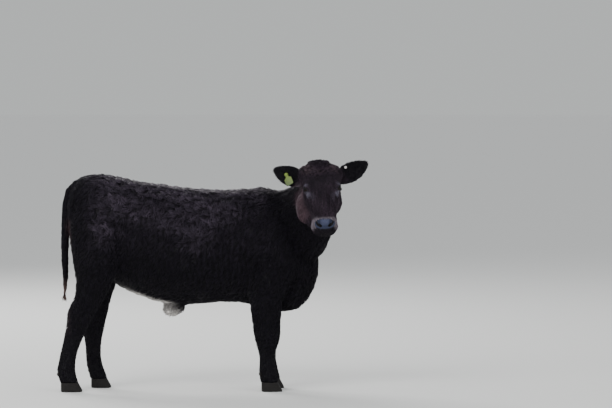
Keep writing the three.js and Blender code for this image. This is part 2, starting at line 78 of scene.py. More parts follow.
def onBody(x, y, z):                   # calf's millimetres to the frame's metres
    return bodyAt + np.array((x, y, z)) * mm


def onHead(x, y, z):
    return np.array(headAt) + headAxes @ (np.array((x, y, z)) * mm)


def toBody(points):                    # metres to the calf's millimetres
    return (points - bodyAt) / mm


def toHead(points):
    return (points - np.array(headAt)) @ headAxes / mm


def unit(v):
    return v / np.maximum(np.linalg.norm(v, axis=-1, keepdims=True), 1e-9)


def ramp(low, high, value):            # smooth step from 0 at low to 1 at high
    t = np.clip((value - low) / (high - low), 0, 1)
    return t * t * (3 - 2 * t)


# camera, first

cameraView = {
    "distance": 17.0,                  # from the middle of the body
    "height": 1.6,
    "side": 618,                       # calf's X of the camera, mm
    "lens": 187.6,
    "pitch": 2.05,                     # degrees below the level
    "farthest": 200,
}
eyePoint = onBody(cameraView["side"], 0, cameraView["height"] / mm)
bpy.ops.object.camera_add(
    location=(eyePoint[0], eyePoint[1] - cameraView["distance"], eyePoint[2]),
    rotation=(math.radians(90 - cameraView["pitch"]), 0, 0),
)
camera = bpy.context.object
camera.data.lens = cameraView["lens"]
camera.data.clip_end = cameraView["farthest"]
bpy.context.scene.camera = camera
print("camera set", [round(v, 4) for v in bodyOrigin])


# small helpers for meshes

def pickOnly(obj):
    bpy.ops.object.select_all(action="DESELECT")
    obj.select_set(True)
    bpy.context.view_layer.objects.active = obj


@contextmanager
def editing(piece):                    # the operators inside work on this piece's mesh
    pickOnly(piece)
    bpy.ops.object.mode_set(mode="EDIT")
    yield
    bpy.ops.object.mode_set(mode="OBJECT")


weldWithin = 0.00002                   # metres


def copyOfNode(name):
    piece = nodes[name].copy()
    piece.data = nodes[name].data.copy()
    piece.data.materials.clear()
    bpy.context.collection.objects.link(piece)
    with editing(piece):
        bpy.ops.mesh.select_all(action="SELECT")
        bpy.ops.mesh.remove_doubles(threshold=weldWithin)
        bpy.ops.mesh.normals_make_consistent(inside=False)
    return piece


def joined(pieces, name):
    bpy.ops.object.select_all(action="DESELECT")
    for piece in pieces:
        piece.select_set(True)
    bpy.context.view_layer.objects.active = pieces[0]
    bpy.ops.object.join()
    pieces[0].name = name
    pieces[0].data.name = name
    return pieces[0]


def finished(piece, modifierType, **values):
    pickOnly(piece)
    modifier = piece.modifiers.new("shape", modifierType)
    for key, value in values.items():
        setattr(modifier, key, value)
    bpy.ops.object.modifier_apply(modifier=modifier.name)


def readFrom(items, key, width, kind=np.float32):
    values = np.empty(len(items) * width, kind)
    items.foreach_get(key, values)
    return values.reshape(-1, width)


def pointsOf(mesh):
    return readFrom(mesh.vertices, "co", 3).astype(np.float64)


def normalsOf(mesh):
    return readFrom(mesh.vertex_normals, "vector", 3).astype(np.float64)


def edgesOf(mesh):
    return readFrom(mesh.edges, "vertices", 2, np.int32)


def cornersOf(mesh):                   # the point at each corner of the faces
    return readFrom(mesh.loops, "vertex_index", 1, np.int32).ravel()


def setPoints(mesh, points):
    mesh.vertices.foreach_set("co", points.astype(np.float32).ravel())
    mesh.update()


def averaged(values, edges):           # mean of each point's neighbours
    count = len(values)
    a, b = edges[:, 0], edges[:, 1]
    shares = np.bincount(a, minlength=count) + np.bincount(b, minlength=count)
    flat = values.reshape(count, -1)
    total = np.stack([
        np.bincount(a, flat[b, k], count) + np.bincount(b, flat[a, k], count)
        for k in range(flat.shape[1])
    ], 1)
    return (total / np.maximum(shares, 1)[:, None]).reshape(values.shape)


def evened(values, edges, rounds, weight=0.5):
    for _ in range(rounds):
        values = values + weight * (averaged(values, edges) - values)
    return values


def evenedWithin(points, edges, rounds, weight):   # evens only where the weight is above nothing
    inside = weight > 0
    index = np.cumsum(inside) - 1
    near = index[edges[inside[edges].all(1)]]
    points = points.copy()
    points[inside] = evened(points[inside], near, rounds, weight[inside][:, None])
    return points


def relaxed(points, edges, rounds, strength):   # smooths without shrinking
    for _ in range(rounds):
        for step in (0.5, -0.53):
            points = points + (step * strength)[:, None] * (averaged(points, edges) - points)
    return points


# skin: one closed surface under the coat

skinShape = {
    "voxel": 0.0041,
    "keep": 0.25,                      # share of the body's faces kept away from the head
    "relaxing": 12, "joining": 30, "evening": 4,    # rounds of smoothing: all over, joins, body
    "pollEvening": 16, "napeEvening": 240,
    "drawSteps": 6,                    # steps in which it is drawn in under the coat
}
coatDepth = {                          # metres from the skin to the tips of the coat
    "back": 0.004, "side": 0.010, "belly": 0.010, "navel": 0.003, "neck": 0.008,
    "head": 0.0055, "poll": 0.013, "muzzle": 0.0025, "ear": 0.0012,
    "upperLeg": 0.004, "lowerLeg": 0.001, "tail": 0.006, "switch": 0.006,
}
places = {                             # middle and reach, mm, on the head or on the body
    "poll": ((14, -6, -22), 105),
    "nape": ((-25, 0, -95), (85, 150, 80)),
    "navel": ((-95, 0, 430), (110, 80, 90)),
    "pollHair": ((24, -6, -22), (98, 165, 90)),
    "navelHair": ((-92, 0, 425), (80, 60, 70)),
}

legNames = ["foreleg_right", "foreleg_left", "hindleg_right", "hindleg_left"]
upperLegs = [name + "_upper" for name in legNames]
lowerLegs = [name + "_lower" for name in legNames]
earNames = ["ear_right", "ear_left"]
fleshNames = ["trunk", "neck", "head", "muzzle", "tail", "tail_switch"]
fleshNames += earNames + upperLegs + lowerLegs

skin = joined([copyOfNode(name) for name in fleshNames + ["eye_left", "eye_right"]], "skin")
finished(skin, "REMESH", mode="VOXEL", voxel_size=skinShape["voxel"])


def islands(count, edges):             # a number for each point, the same all over one island
    label = np.arange(count)
    while True:
        before = label.copy()
        low = np.minimum(label[edges[:, 0]], label[edges[:, 1]])
        np.minimum.at(label, edges[:, 0], low)
        np.minimum.at(label, edges[:, 1], low)
        label = label[label]
        if (label == before).all():
            return label


def keepLargest(piece):                # drops the bubbles that the seams leave inside
    mesh = piece.data
    label = islands(len(mesh.vertices), edgesOf(mesh))
    spare = label != np.bincount(label).argmax()
    with editing(piece):
        bpy.ops.mesh.select_mode(type="VERT")
        bpy.ops.mesh.select_all(action="DESELECT")
    mesh.vertices.foreach_set("select", spare)
    with editing(piece):
        bpy.ops.mesh.delete(type="VERT")


keepLargest(skin)
print("skin remeshed", len(skin.data.polygons))

# which solid each point of the skin belongs to
treePoints, treeFaces, faceNode = [], [], []
for index, name in enumerate(fleshNames):
    mesh = nodes[name].data
    mesh.calc_loop_triangles()
    start = len(treePoints)
    treePoints += [v.co[:] for v in mesh.vertices]
    treeFaces += [tuple(start + i for i in t.vertices) for t in mesh.loop_triangles]
    faceNode += [index] * len(mesh.loop_triangles)
fleshTree = BVHTree.FromPolygons(treePoints, treeFaces)


def partMasks(points, edges, rounds):
    owner = np.array([faceNode[fleshTree.find_nearest(p)[2]] for p in points])
    masks = np.zeros((len(points), len(fleshNames)))
    masks[np.arange(len(points)), owner] = 1
    masks = evened(masks, edges, rounds)
    return {name: masks[:, k] for k, name in enumerate(fleshNames)}


def together(masks, names):
    return np.clip(np.sum([masks[name] for name in names], 0), 0, 1)


def nearness(place, reach, points):    # 1 at the place, 0 past its reach
    return ramp(1, 0, np.linalg.norm((points - np.array(place)) / np.array(reach), axis=1))


mesh = skin.data
points = pointsOf(mesh)
edges = edgesOf(mesh)
masks = partMasks(points, edges, 8)
thin = together(masks, earNames + ["tail", "tail_switch"])
headness = together(masks, ["head", "muzzle"])
legness = together(masks, upperLegs)
joint = legness * masks["trunk"] + masks["neck"] * masks["trunk"] + masks["neck"] * masks["head"]
joint = evened(np.clip(5 * joint, 0, 1), edges, 12)
joint = np.clip(joint * 1.6, 0, 1) * (1 - thin)
points = relaxed(points, edges, skinShape["relaxing"], (1 - 0.75 * thin) * (1 - 0.55 * headness))
points = evened(points, edges, skinShape["joining"], (joint * 0.5)[:, None])
plain = (1 - thin) * (1 - headness)
points = evened(points, edges, skinShape["evening"], (plain * 0.5)[:, None])

# drawn in by the depth of the coat, in small steps so that nothing folds
body = toBody(points)
onFace = toHead(points)
poll = nearness(*places["poll"], onFace) * headness
bare = ramp(318, 345, onFace[:, 0]) * masks["muzzle"]
navel = nearness(*places["navel"], body)
depth = (
    masks["trunk"] * (coatDepth["belly"]
                      + (coatDepth["side"] - coatDepth["belly"]) * ramp(430, 620, body[:, 2])
                      + (coatDepth["back"] - coatDepth["side"]) * ramp(780, 960, body[:, 2]))
    + masks["neck"] * coatDepth["neck"]
    + masks["head"] * coatDepth["head"] + poll * (coatDepth["poll"] - coatDepth["head"])
    + masks["muzzle"] * coatDepth["muzzle"] * (1 - bare)
    + together(masks, earNames) * coatDepth["ear"]
    + legness * coatDepth["upperLeg"] + together(masks, lowerLegs) * coatDepth["lowerLeg"]
    + masks["tail"] * coatDepth["tail"] + masks["tail_switch"] * coatDepth["switch"]
)
depth = depth * (1 - navel) + coatDepth["navel"] * navel
depth = evened(depth, edges, 25)
for _ in range(skinShape["drawSteps"]):
    setPoints(mesh, points)
    points = points - normalsOf(mesh) * (depth / skinShape["drawSteps"])[:, None]
    points = evened(points, edges, 2, ((1 - thin) * (0.35 - 0.2 * headness))[:, None])
behindPoll = 0.45 * poll * ramp(60, -10, onFace[:, 0])
points = evenedWithin(points, edges, skinShape["pollEvening"], behindPoll)
nape = 0.5 * nearness(*places["nape"], onFace) * (1 - thin)
points = evenedWithin(points, edges, skinShape["napeEvening"], nape)
points = relaxed(points, edges, 3, 1 - 0.4 * thin)
setPoints(mesh, points)

# the body can do with fewer faces than the head
group = skin.vertex_groups.new(name="body")
bodyShare = 1 - np.clip(headness + together(masks, earNames), 0, 1)
for level in range(1, 11):
    chosen = np.nonzero((bodyShare * 10).round() == level)[0]
    group.add([int(i) for i in chosen], level / 10, "REPLACE")
finished(
    skin, "DECIMATE", ratio=skinShape["keep"], vertex_group="body", use_collapse_triangulate=True,
)
skin.vertex_groups.clear()
print("skin thinned", len(skin.data.polygons))


def refine(piece, wanted):             # finer faces round the eyes, nose and mouth
    with editing(piece):
        bpy.ops.mesh.select_mode(type="FACE")
        bpy.ops.mesh.select_all(action="DESELECT")
    mesh = piece.data
    chosen = wanted(pointsOf(mesh))
    mesh.polygons.foreach_set("select", chosen[cornersOf(mesh).reshape(-1, 3)].all(1))
    mesh.edges.foreach_set("select", chosen[edgesOf(mesh)].all(1))
    mesh.vertices.foreach_set("select", chosen)
    with editing(piece):
        bpy.ops.mesh.subdivide(number_cuts=1)
        bpy.ops.mesh.select_all(action="SELECT")
        bpy.ops.mesh.quads_convert_to_tris()


eyeMiddle = {
    "left": onHead(*pose["eye"]),
    "right": onHead(pose["eye"][0], -pose["eye"][1], pose["eye"][2]),
}


def nearEyes(points, reach):
    away = [np.linalg.norm(points - middle, axis=1) for middle in eyeMiddle.values()]
    return np.minimum(*away) < reach


def nearNose(points):
    local = toHead(points)
    return (np.abs(local[:, 0] - 355) < 45) & (np.abs(local[:, 1]) < 90) & (local[:, 2] > -165)


refine(skin, lambda p: nearEyes(p, 0.042) | nearNose(p))
refine(skin, lambda p: nearEyes(p, 0.030))
print("skin refined", len(skin.data.polygons))

mesh = skin.data
points = pointsOf(mesh)
edges = edgesOf(mesh)
masks = partMasks(points, edges, 10)
body = toBody(points)
onFace = toHead(points)
isHead = together(masks, ["head", "muzzle"])


def mirrored(forms):                   # each form, and its twin on the other side
    pairs = []
    for (x, y, z), reach, rise in forms:
        pairs += [((x, side * y, z), reach, rise) for side in ((1, -1) if y else (1,))]
    return pairs


# place, reach and rise in millimetres; those of the face are in the head's frame
bodyForms = mirrored([
    ((-300, -190, 985), (95, 90, 70), -9),     # hollow of the flank
    ((-395, -150, 1040), (60, 60, 50), 7),     # hook bones
    ((-610, -95, 1010), (50, 50, 50), 6),      # pin bones
    ((300, -215, 720), (60, 90, 190), -8),     # behind the shoulder
    ((470, -190, 790), (90, 80, 130), 7),      # shoulder
    ((575, -150, 640), (60, 70, 60), 9),       # point of the shoulder
    ((-390, -170, 600), (60, 70, 80), 7),      # stifle
    ((-560, -190, 760), (60, 80, 170), -5),    # groove of the thigh
    ((-500, 0, 1130), (240, 30, 60), 3),       # line of the spine
    ((420, 0, 1080), (240, 90, 80), 9),        # withers
])
faceForms = mirrored([
    ((100, 0, 10), (50, 40, 40), -4),          # dish of the forehead
    ((230, 40, -30), (60, 22, 30), -4),        # beside the nose
    ((185, 92, -60), (34, 30, 26), -5),        # tear trough
    ((110, 100, -84), (44, 36, 34), -5),       # temple
    ((205, 98, -120), (60, 30, 24), 4),        # ridge of the cheek
    ((355, 0, -150), (26, 30, 26), 3),         # chin
]) + [((238, -72, -128), (46, 30, 40), 9), ((238, 72, -128), (46, 30, 40), 3)]    # jaw to lip


def swell(points, local, forms, normals):
    for place, reach, rise in forms:
        away = np.linalg.norm((local - np.array(place)) / np.array(reach), axis=1)
        points = points + normals * (rise * mm * ramp(1, 0, away))[:, None]
    return points


points = swell(points, body, bodyForms, normalsOf(mesh))
points = swell(points, onFace, faceForms, normalsOf(mesh) * isHead[:, None])
setPoints(mesh, points)


def nearLine(points, line, reach):     # 1 on a line on the face, 0 past its reach
    local = toHead(points)
    away = np.full(len(points), 1e9)
    for start, end in zip(line[:-1], line[1:]):
        a, b = np.array(start, float), np.array(end, float)
        share = np.clip((local - a) @ (b - a) / ((b - a) @ (b - a)), 0, 1)
        away = np.minimum(away, np.linalg.norm(local - a - share[:, None] * (b - a), axis=1))
    return ramp(1, 0, away / reach)


def groove(points, line, reach, depth):
    cut = points - normalsOf(mesh) * (depth * mm * nearLine(points, line, reach))[:, None]
    setPoints(mesh, cut)
    return cut


def bothSides(line):
    return [[(x, side * y, z) for x, y, z in line] for side in (1, -1)]


carving = {                            # reach across and depth, mm
    "mouth": (7, 5), "nostril": (9.5, 6.5), "wing": (6, 2), "fold": (6, 1.8),
    "black": 10.5,                     # reach of the painted shade inside the nostrils
}
mouthLine = [
    (372, 0, -112), (370, 24, -113), (362, 46, -117),
    (342, 60, -122), (316, 61, -126), (296, 58, -128),
]
nostrilLine = [(341, 46, -31), (350, 43, -42), (358, 34, -52), (364, 23, -58)]
wingLine = [(338, 52, -44), (346, 54, -58), (360, 46, -70)]
eyeFolds = [
    [(122, 70, -16), (134, 92, -24), (152, 104, -34)],
    [(112, 62, -10), (122, 88, -18), (136, 106, -34)],
    [(176, 84, -34), (172, 100, -48), (158, 108, -60)],
]
for line in bothSides(mouthLine):
    points = groove(points, line, *carving["mouth"])
nostrilShade = np.max([nearLine(points, line, carving["black"]) for line in bothSides(nostrilLine)], 0)
for line in bothSides(nostrilLine) * 2:
    points = groove(points, line, *carving["nostril"])
for line in bothSides(wingLine):
    points = groove(points, line, *carving["wing"])
for fold in eyeFolds:
    for line in bothSides(fold):
        points = groove(points, line, *carving["fold"])

# lids: the skin hugs the eyeball round an almond opening and drops behind it inside
lids = {
    "length": 16.2, "above": 6.8, "below": 8.0,     # half sizes of the opening, mm
    "edge": 1.9, "thick": 3.4, "hood": 2.6,         # over the eyeball, and more above it
    "power": 1.8,                                   # 2 is an ellipse, less is more pointed
    "gaze": (0.24, 0.69, 0.69), "along": (0.75, -0.56, 0.34),
    "front": 0.060, "inside": 0.006,                # metres: reach of the lids, depth behind them
}
gazes = {}


def opening(points, side):             # 1 on the rims of the lids, and how low a point is in it
    gaze, along, down = gazes[side]
    away = (points - eyeMiddle[side]) / mm
    height = away @ down
    height = height / np.where(height > 0, lids["below"], lids["above"])
    power = lids["power"]
    out = np.abs(away @ along / lids["length"]) ** power + np.abs(height) ** power
    return out ** (1 / power), height


for side, sign in (("left", 1), ("right", -1)):
    mirror = np.array((1, sign, 1))
    gaze = unit(headAxes @ (np.array(lids["gaze"]) * mirror))
    along = headAxes @ (np.array(lids["along"]) * mirror)
    along = unit(along - gaze * (along @ gaze))
    gazes[side] = (gaze, along, sign * np.cross(gaze, along))
    out, height = opening(points, side)
    away = points - eyeMiddle[side]
    distance = np.linalg.norm(away, axis=1)
    front = (away @ gaze > 0) & (distance < lids["front"])
    radius = pose["eyeRadius"] * mm
    thick = lids["thick"] - lids["edge"] + lids["hood"] * ramp(0.2, -0.6, height)
    lidRadius = radius + mm * (lids["edge"] + thick * ramp(1.0, 1.6, out))
    hug = ramp(2.3, 1.25, out)
    target = np.where(out < 1.0, radius - lids["inside"], lidRadius * hug + distance * (1 - hug))
    points = np.where(front[:, None], eyeMiddle[side] + unit(away) * target[:, None], points)
setPoints(mesh, points)
print("skin sculpted")

pickOnly(skin)
bpy.ops.object.shade_smooth()

# the coat's roots take their places on this unwrap
mesh.uv_layers.new(name="OFBake")
with editing(skin):
    bpy.ops.mesh.select_all(action="SELECT")
    bpy.ops.uv.smart_project(angle_limit=math.radians(66), island_margin=0.002)
print("skin unwrapped")

# what the coat is like in each region of the body

# millimetres: spacing of the locks, length, width, height of the tips over the skin, clump size;
# curl and stray are in radians, gather is how far the tips of a clump draw together
styleKeys = ("spacing", "length", "width", "height", "clump", "curl", "stray", "gather")
styles = {
    "back": (5.9, 38, 4.5, 16, 27, 1.0, 0.68, 0.34),
    "side": (5.6, 34, 4.0, 8.6, 22, 0.25, 0.13, 0.34),
    "belly": (6.3, 34, 4.6, 9, 24, 0.4, 0.2, 0.4),
    "neck": (4.9, 30, 3.6, 9, 22, 0.35, 0.16, 0.34),
    "poll": (3.1, 23, 2.5, 10, 17, 1.7, 0.8, 0.5),
    "face": (2.95, 12, 2.1, 3.4, 12, 0.25, 0.14, 0.3),
    "cheek": (3.9, 19, 2.6, 5.5, 16, 0.3, 0.16, 0.35),
    "earBack": (3.3, 10, 2.0, 2.1, 11, 0.2, 0.12, 0.25),
    "earHollow": (3.3, 12, 1.7, 3.4, 11, 0.3, 0.2, 0.3),
    "thigh": (5.4, 24, 3.8, 6, 20, 0.3, 0.15, 0.4),
    "shank": (4.35, 14, 2.8, 3.1, 13, 0.2, 0.1, 0.3),
    "tail": (5.2, 44, 3.8, 6, 20, 0.2, 0.08, 0.4),
    "switch": (3.2, 42, 3.1, 6, 22, 0.12, 0.05, 0.5),
    "navel": (4.2, 31, 3.2, 8, 18, 0.4, 0.25, 0.5),
}
# the pieces of the coat, the regions that each takes and the number of rings along its locks
coatPieces = {
    "coat_back_right": (["back"], 3),
    "coat_back_left": (["back"], 3),
    "coat_flank_right": (["side"], 2),
    "coat_flank_left": (["side"], 2),
    "coat_belly": (["belly", "navel"], 2),
    "coat_neck": (["neck"], 2),
    "coat_poll": (["poll"], 4),
    "coat_face": (["face"], 2),
    "coat_cheeks": (["cheek"], 2),
    "coat_ears": (["earBack", "earHollow"], 2),
    "coat_thighs": (["thigh"], 2),
    "coat_shanks": (["shank"], 2),
    "coat_tail": (["tail", "switch"], 4),
}
styleNames = list(styles)
rng = np.random.default_rng(20)

mesh = skin.data
points = pointsOf(mesh)
normals = normalsOf(mesh)
edges = edgesOf(mesh)
faces = cornersOf(mesh).reshape(-1, 3)
faceUvs = readFrom(mesh.uv_layers["OFBake"].data, "uv", 2).reshape(-1, 3, 2)
skinTree = BVHTree.FromPolygons(points.tolist(), faces.tolist())
body = toBody(points)
onFace = toHead(points)

earFrames = {}
for side, (root, along, hollow) in pose["ears"].items():
    along = headAxes @ unit(np.array(along))
    hollow = headAxes @ unit(np.array(hollow))
    across = unit(np.cross(hollow, along))
    earFrames[side] = (onHead(*root), along, across, np.cross(along, across))

nosePad = {
    "middle": (354, -50), "slope": (0.839, 0.545),  # down the face and out of it
    "halfWide": 53, "halfHigh": 30, "flatter": 2, "power": 2.4,
}


def screenPlace(local):                # across the face and down it as seen from in front, mm
    (top, front), (fall, rise) = nosePad["middle"], nosePad["slope"]
    return local[:, 1], fall * (local[:, 0] - top) - rise * (local[:, 2] - front)


def padMask(local):                    # the bare nose
    across, down = screenPlace(local)
    power = nosePad["power"]
    high = nosePad["halfHigh"] - nosePad["flatter"] * (down > 0)
    out = np.abs(across / nosePad["halfWide"]) ** power + np.abs(down / high) ** power
    return ramp(1.08, 0.95, out ** (1 / power)) * ramp(318, 330, local[:, 0])


def lidMask(points):                   # bare rims of the lids
    rim = np.zeros(len(points))
    for side in gazes:
        out, _ = opening(points, side)
        near = np.linalg.norm(points - eyeMiddle[side], axis=1) < 0.03
        rim = np.maximum(rim, ramp(1.5, 1.25, out) * near)
    return rim


pad = padMask(onFace)
rims = lidMask(points)
trunk = masks["trunk"]
head = together(masks, ["head", "muzzle"])
hollowSide = np.where(
    masks["ear_left"] > masks["ear_right"],
    normals @ earFrames["left"][3], normals @ earFrames["right"][3],
)
earness = together(masks, earNames)
weights = {}
x, z = body[:, 0], body[:, 2]
edgeOfBack = 70 * np.sin(x / 97 + 1) + 45 * np.sin(x / 41) * np.sin(z / 60)
weights["back"] = trunk * ramp(770, 950, z + edgeOfBack - 90 * ramp(0, 450, x))
weights["back"] = weights["back"] * ramp(-540, -400, x + 0.6 * edgeOfBack)
weights["belly"] = trunk * ramp(600, 490, z)
weights["navel"] = nearness(*places["navelHair"], body) * (weights["belly"] > 0)
weights["belly"] = weights["belly"] * (1 - weights["navel"])
weights["side"] = np.clip(trunk - weights["back"] - weights["belly"] - weights["navel"], 0, 1)
weights["neck"] = masks["neck"]
weights["poll"] = head * np.clip(1.9 * nearness(*places["pollHair"], onFace), 0, 1)
cheekness = ramp(-75, -125, onFace[:, 2]) * ramp(300, 250, onFace[:, 0])
weights["cheek"] = (head - weights["poll"]) * cheekness
weights["face"] = np.clip(head - weights["poll"] - weights["cheek"], 0, 1)
weights["earHollow"] = earness * ramp(0.1, 0.45, hollowSide)
weights["earBack"] = earness - weights["earHollow"]
weights["thigh"] = together(masks, upperLegs)
weights["shank"] = together(masks, lowerLegs)
weights["tail"] = masks["tail"]
weights["switch"] = masks["tail_switch"]
weights = evened(np.stack([np.clip(weights[name], 0, 1) for name in styleNames], 1), edges, 6)
weights = weights / np.maximum(weights.sum(1, keepdims=True), 1e-6)

# roots spread over the skin, as close as each region's style asks
spacings = [row[styleKeys.index("spacing")] for row in styles.values()]
density = (weights @ np.array([1 / spacing ** 2 for spacing in spacings])) / mm ** 2
tagNames = ["eartag_flag", "eartag_button", "eartag_stud"]
tagPlaces = [np.add(*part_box(name)) / 2 for name in tagNames]
tagRoom = np.min([np.linalg.norm(points - place, axis=1) for place in tagPlaces], 0)
density = density * (1 - np.clip(pad + rims, 0, 1)) * (0.12 + 0.88 * ramp(0.012, 0.022, tagRoom))
a, b, c = (points[faces[:, k]] for k in range(3))
areas = np.linalg.norm(np.cross(b - a, c - a), axis=1) / 2
expected = np.cumsum(areas * density[faces].mean(1))
count = int(expected[-1])
face = np.searchsorted(expected, np.arange(count) + rng.random(count)).clip(0, len(faces) - 1)
u, v = rng.random(count), rng.random(count)
flip = u + v > 1
u[flip], v[flip] = 1 - u[flip], 1 - v[flip]
inFace = np.stack([1 - u - v, u, v], 1)


def atRoots(values):
    return np.einsum("nk,nk...->n...", inFace, values[faces[face]])


roots = atRoots(points)
rootNormals = unit(atRoots(normals))
rootUvs = np.einsum("nk,nkd->nd", inFace, faceUvs[face])
share = atRoots(weights)
style = {}                             # the values for each root, mixed where regions meet
for k, key in enumerate(styleKeys):
    style[key] = share @ np.array([row[k] for row in styles.values()], float)
body = toBody(roots)
onFace = toHead(roots)
print("roots", count)

combed = {                             # the way the hair lies: to the head, to the left, up
    "back": (-0.9, 0, -0.35), "side": (-0.42, 0, -0.9), "belly": (-0.8, 0, -0.6),
    "navel": (-0.4, 0, -0.9), "neck": (-0.45, 0.25, -0.8), "thigh": (-0.15, 0, -1),
    "shank": (-0.08, 0, -1), "tail": (-0.1, 0, -1), "switch": (0, 0, -1),
    "whorl": (100, -4, 8), "crown": (14, -8, 6),    # on the head, mm
}


def lieOfCoat():
    ways = {name: np.tile(combed[name], (count, 1)) for name in styleNames if name in combed}
    ways["back"] = ways["back"] + np.sign(body[:, 1])[:, None] * np.array((0, 0.5, 0))
    away = onFace - np.array(combed["whorl"])
    spun = np.stack([away[:, 0] - 0.7 * away[:, 1], away[:, 1] + 0.7 * away[:, 0], away[:, 2]], 1)
    spiral = ramp(70, 15, np.linalg.norm(away, axis=1))[:, None]
    straight = unit(away * np.array((1, 0.8, 0.6)))
    ways["face"] = unit(straight * (1 - spiral) + unit(spun) * spiral) @ headAxes.T
    ways["cheek"] = np.tile(headAxes @ np.array((0.62, 0, -0.78)), (count, 1))
    anyWay = rng.normal(0, 1, roots.shape)
    ways["face"] = ways["face"] + 1.2 * spiral * anyWay
    away = onFace - np.array(combed["crown"])
    atCrown = ramp(55, 10, np.linalg.norm(away, axis=1))[:, None]
    ways["poll"] = unit(away + np.array((18, 0, 0))) @ headAxes.T + 1.4 * atCrown * anyWay
    left, right = earFrames["left"], earFrames["right"]
    nearLeft = np.linalg.norm(roots - left[0], axis=1) < np.linalg.norm(roots - right[0], axis=1)
    ways["earBack"] = np.where(nearLeft[:, None], left[1], right[1])
    ways["earHollow"] = ways["earBack"] + 0.55 * np.where(nearLeft[:, None], left[2], right[2])
    return sum(share[:, [k]] * ways[name] for k, name in enumerate(styleNames))


# clumps: the roots nearest to one leader share its bend and lean to its tip
cell = style["clump"] * mm
keys = np.floor(roots / cell[:, None].round(3) + rng.random(3)).astype(np.int64)
mixed = (keys * np.array((73856093, 19349663, 83492791))).sum(1)     # one number for each cell
mixed += (style["clump"].round() * 7).astype(np.int64)
order = rng.permutation(count)
_, firsts = np.unique(mixed[order], return_index=True)
leaders = order[firsts]
tree = KDTree(len(leaders))
for k, leader in enumerate(leaders):
    tree.insert(roots[leader], k)
tree.balance()
clump = np.array([tree.find(p)[1] for p in roots])
print("clumps", len(leaders))

variety = {                            # least share, and how much more it can be
    "clumpCurl": (0.6, 0.8), "clumpLift": (0.6, 0.6),
    "lift": (0.7, 0.45), "length": (0.75, 0.45), "width": (0.75, 0.5),
}
turning = {"clump": 0.62, "swirl": 0.55, "lock": 0.45}     # shares of the stray that each gives


def varied(key, number):
    least, more = variety[key]
    return least + more * rng.random(number)


clumpTurn = rng.normal(0, 1, len(leaders))
clumpCurl = rng.choice((-1, 1), len(leaders)) * varied("clumpCurl", len(leaders))
clumpLift = varied("clumpLift", len(leaders))
ownLift = varied("lift", count)
ownLength = varied("length", count)
lockTone = rng.random(count)
clumpTone = rng.random(len(leaders))[clump]
wide = style["width"] * varied("width", count) * mm

# a slow swirl of the whole coat, so that neighbouring clumps belong together
x, z = body[:, 0], body[:, 2]
swirl = (np.sin(x / 61 + 2.1 * np.sin(z / 83)) + np.sin(z / 47 + 1.7 * np.sin(x / 95) + 1)) * 0.5
# upright rows in the hair of the side, strongest over the ribs; they lift the locks and also paint
# streaks of sheen onto them
rows = np.sin(x / 4.6 + 1.3 * np.sin(z / 52) + 0.8 * np.sin(z / 21 + x / 60))
ribs = ramp(-80, 60, x) * ramp(380, 270, x) * ramp(470, 560, z) * ramp(900, 790, z)
rows = rows * share[:, styleNames.index("side")] * (0.25 + 0.75 * ribs)
turn = turning["clump"] * clumpTurn[clump] + turning["swirl"] * swirl
turn = style["stray"] * (turn + turning["lock"] * rng.normal(0, 1, count))
lie = lieOfCoat()
lie = unit(lie - rootNormals * (lie * rootNormals).sum(1, keepdims=True))
aside = np.cross(rootNormals, lie)
curl = style["curl"] * clumpCurl[clump]


def pathOf(chosen, steps):             # middle lines of the locks, not yet settled on the skin
    angle = turn[chosen][:, None] + curl[chosen][:, None] * steps ** 1.3
    ahead = np.cos(angle)
    over = np.sin(angle)
    stride = np.diff(steps, prepend=0.0)
    ahead = np.cumsum(ahead * stride, 1)
    over = np.cumsum(over * stride, 1)
    long = (style["length"] * ownLength * mm)[chosen][:, None, None]
    return roots[chosen][:, None] + long * (
        ahead[:, :, None] * lie[chosen][:, None] + over[:, :, None] * aside[chosen][:, None]
    )


# how far the tips hang free of the skin
loose = share @ np.array([name in ("switch", "navel", "earHollow") for name in styleNames], float)
loose = np.maximum(loose, ramp(92, 74, body[:, 2]))     # over the tops of the hooves

# a lock is a thin solid blade with a ridge, widest at a third and drawn out to a point
blade = {
    "sunk": 0.0015,                    # metres under the skin at the root
    "at": (0, 0.35, 0.7, 1), "wide": (0.55, 1, 0.75, 0),
    "under": 0.1, "ridge": 0.3,        # as shares of the width
}


def locksOf(chosen, rings):
    steps = np.linspace(0, 1, rings + 1)
    lines = pathOf(chosen, steps)
    heads = leaders[clump[chosen]]
    leaderLines = pathOf(heads, steps) + 0.25 * (roots[chosen] - roots[heads])[:, None]
    pull = style["gather"][chosen][:, None] * steps ** 1.4
    lines = lines + pull[:, :, None] * (leaderLines - lines)
    curly = np.clip(style["curl"][chosen] / 2, 0, 1)[:, None]
    rise = steps ** 0.65 * (1 - 0.45 * curly * steps ** 2)
    heights = (style["height"] * ownLift * (1 + 0.3 * rows) * mm)[chosen][:, None]
    heights = heights * clumpLift[clump[chosen]][:, None] * rise
    ups = np.repeat(rootNormals[chosen][:, None], rings + 1, 1)
    settled = lines.copy()
    for k in range(1, rings + 1):
        for n, place in enumerate(lines[:, k]):
            near, normal, _, _ = skinTree.find_nearest(place)
            settled[n, k] = near
            ups[n, k] = normal
    above = 0.3 * style["height"][chosen][:, None, None] * mm
    free = lines + rootNormals[chosen][:, None] * above
    hold = (1 - loose[chosen][:, None] * steps)[:, :, None]
    ups = unit(ups + 0.4 * rootNormals[chosen][:, None])
    settled = hold * settled + (1 - hold) * free + ups * heights[:, :, None]
    settled[:, 0] = roots[chosen] - rootNormals[chosen] * blade["sunk"]
    side = unit(np.cross(np.gradient(settled, axis=1), ups))
    return bladesOn(settled, side, wide[chosen], steps)


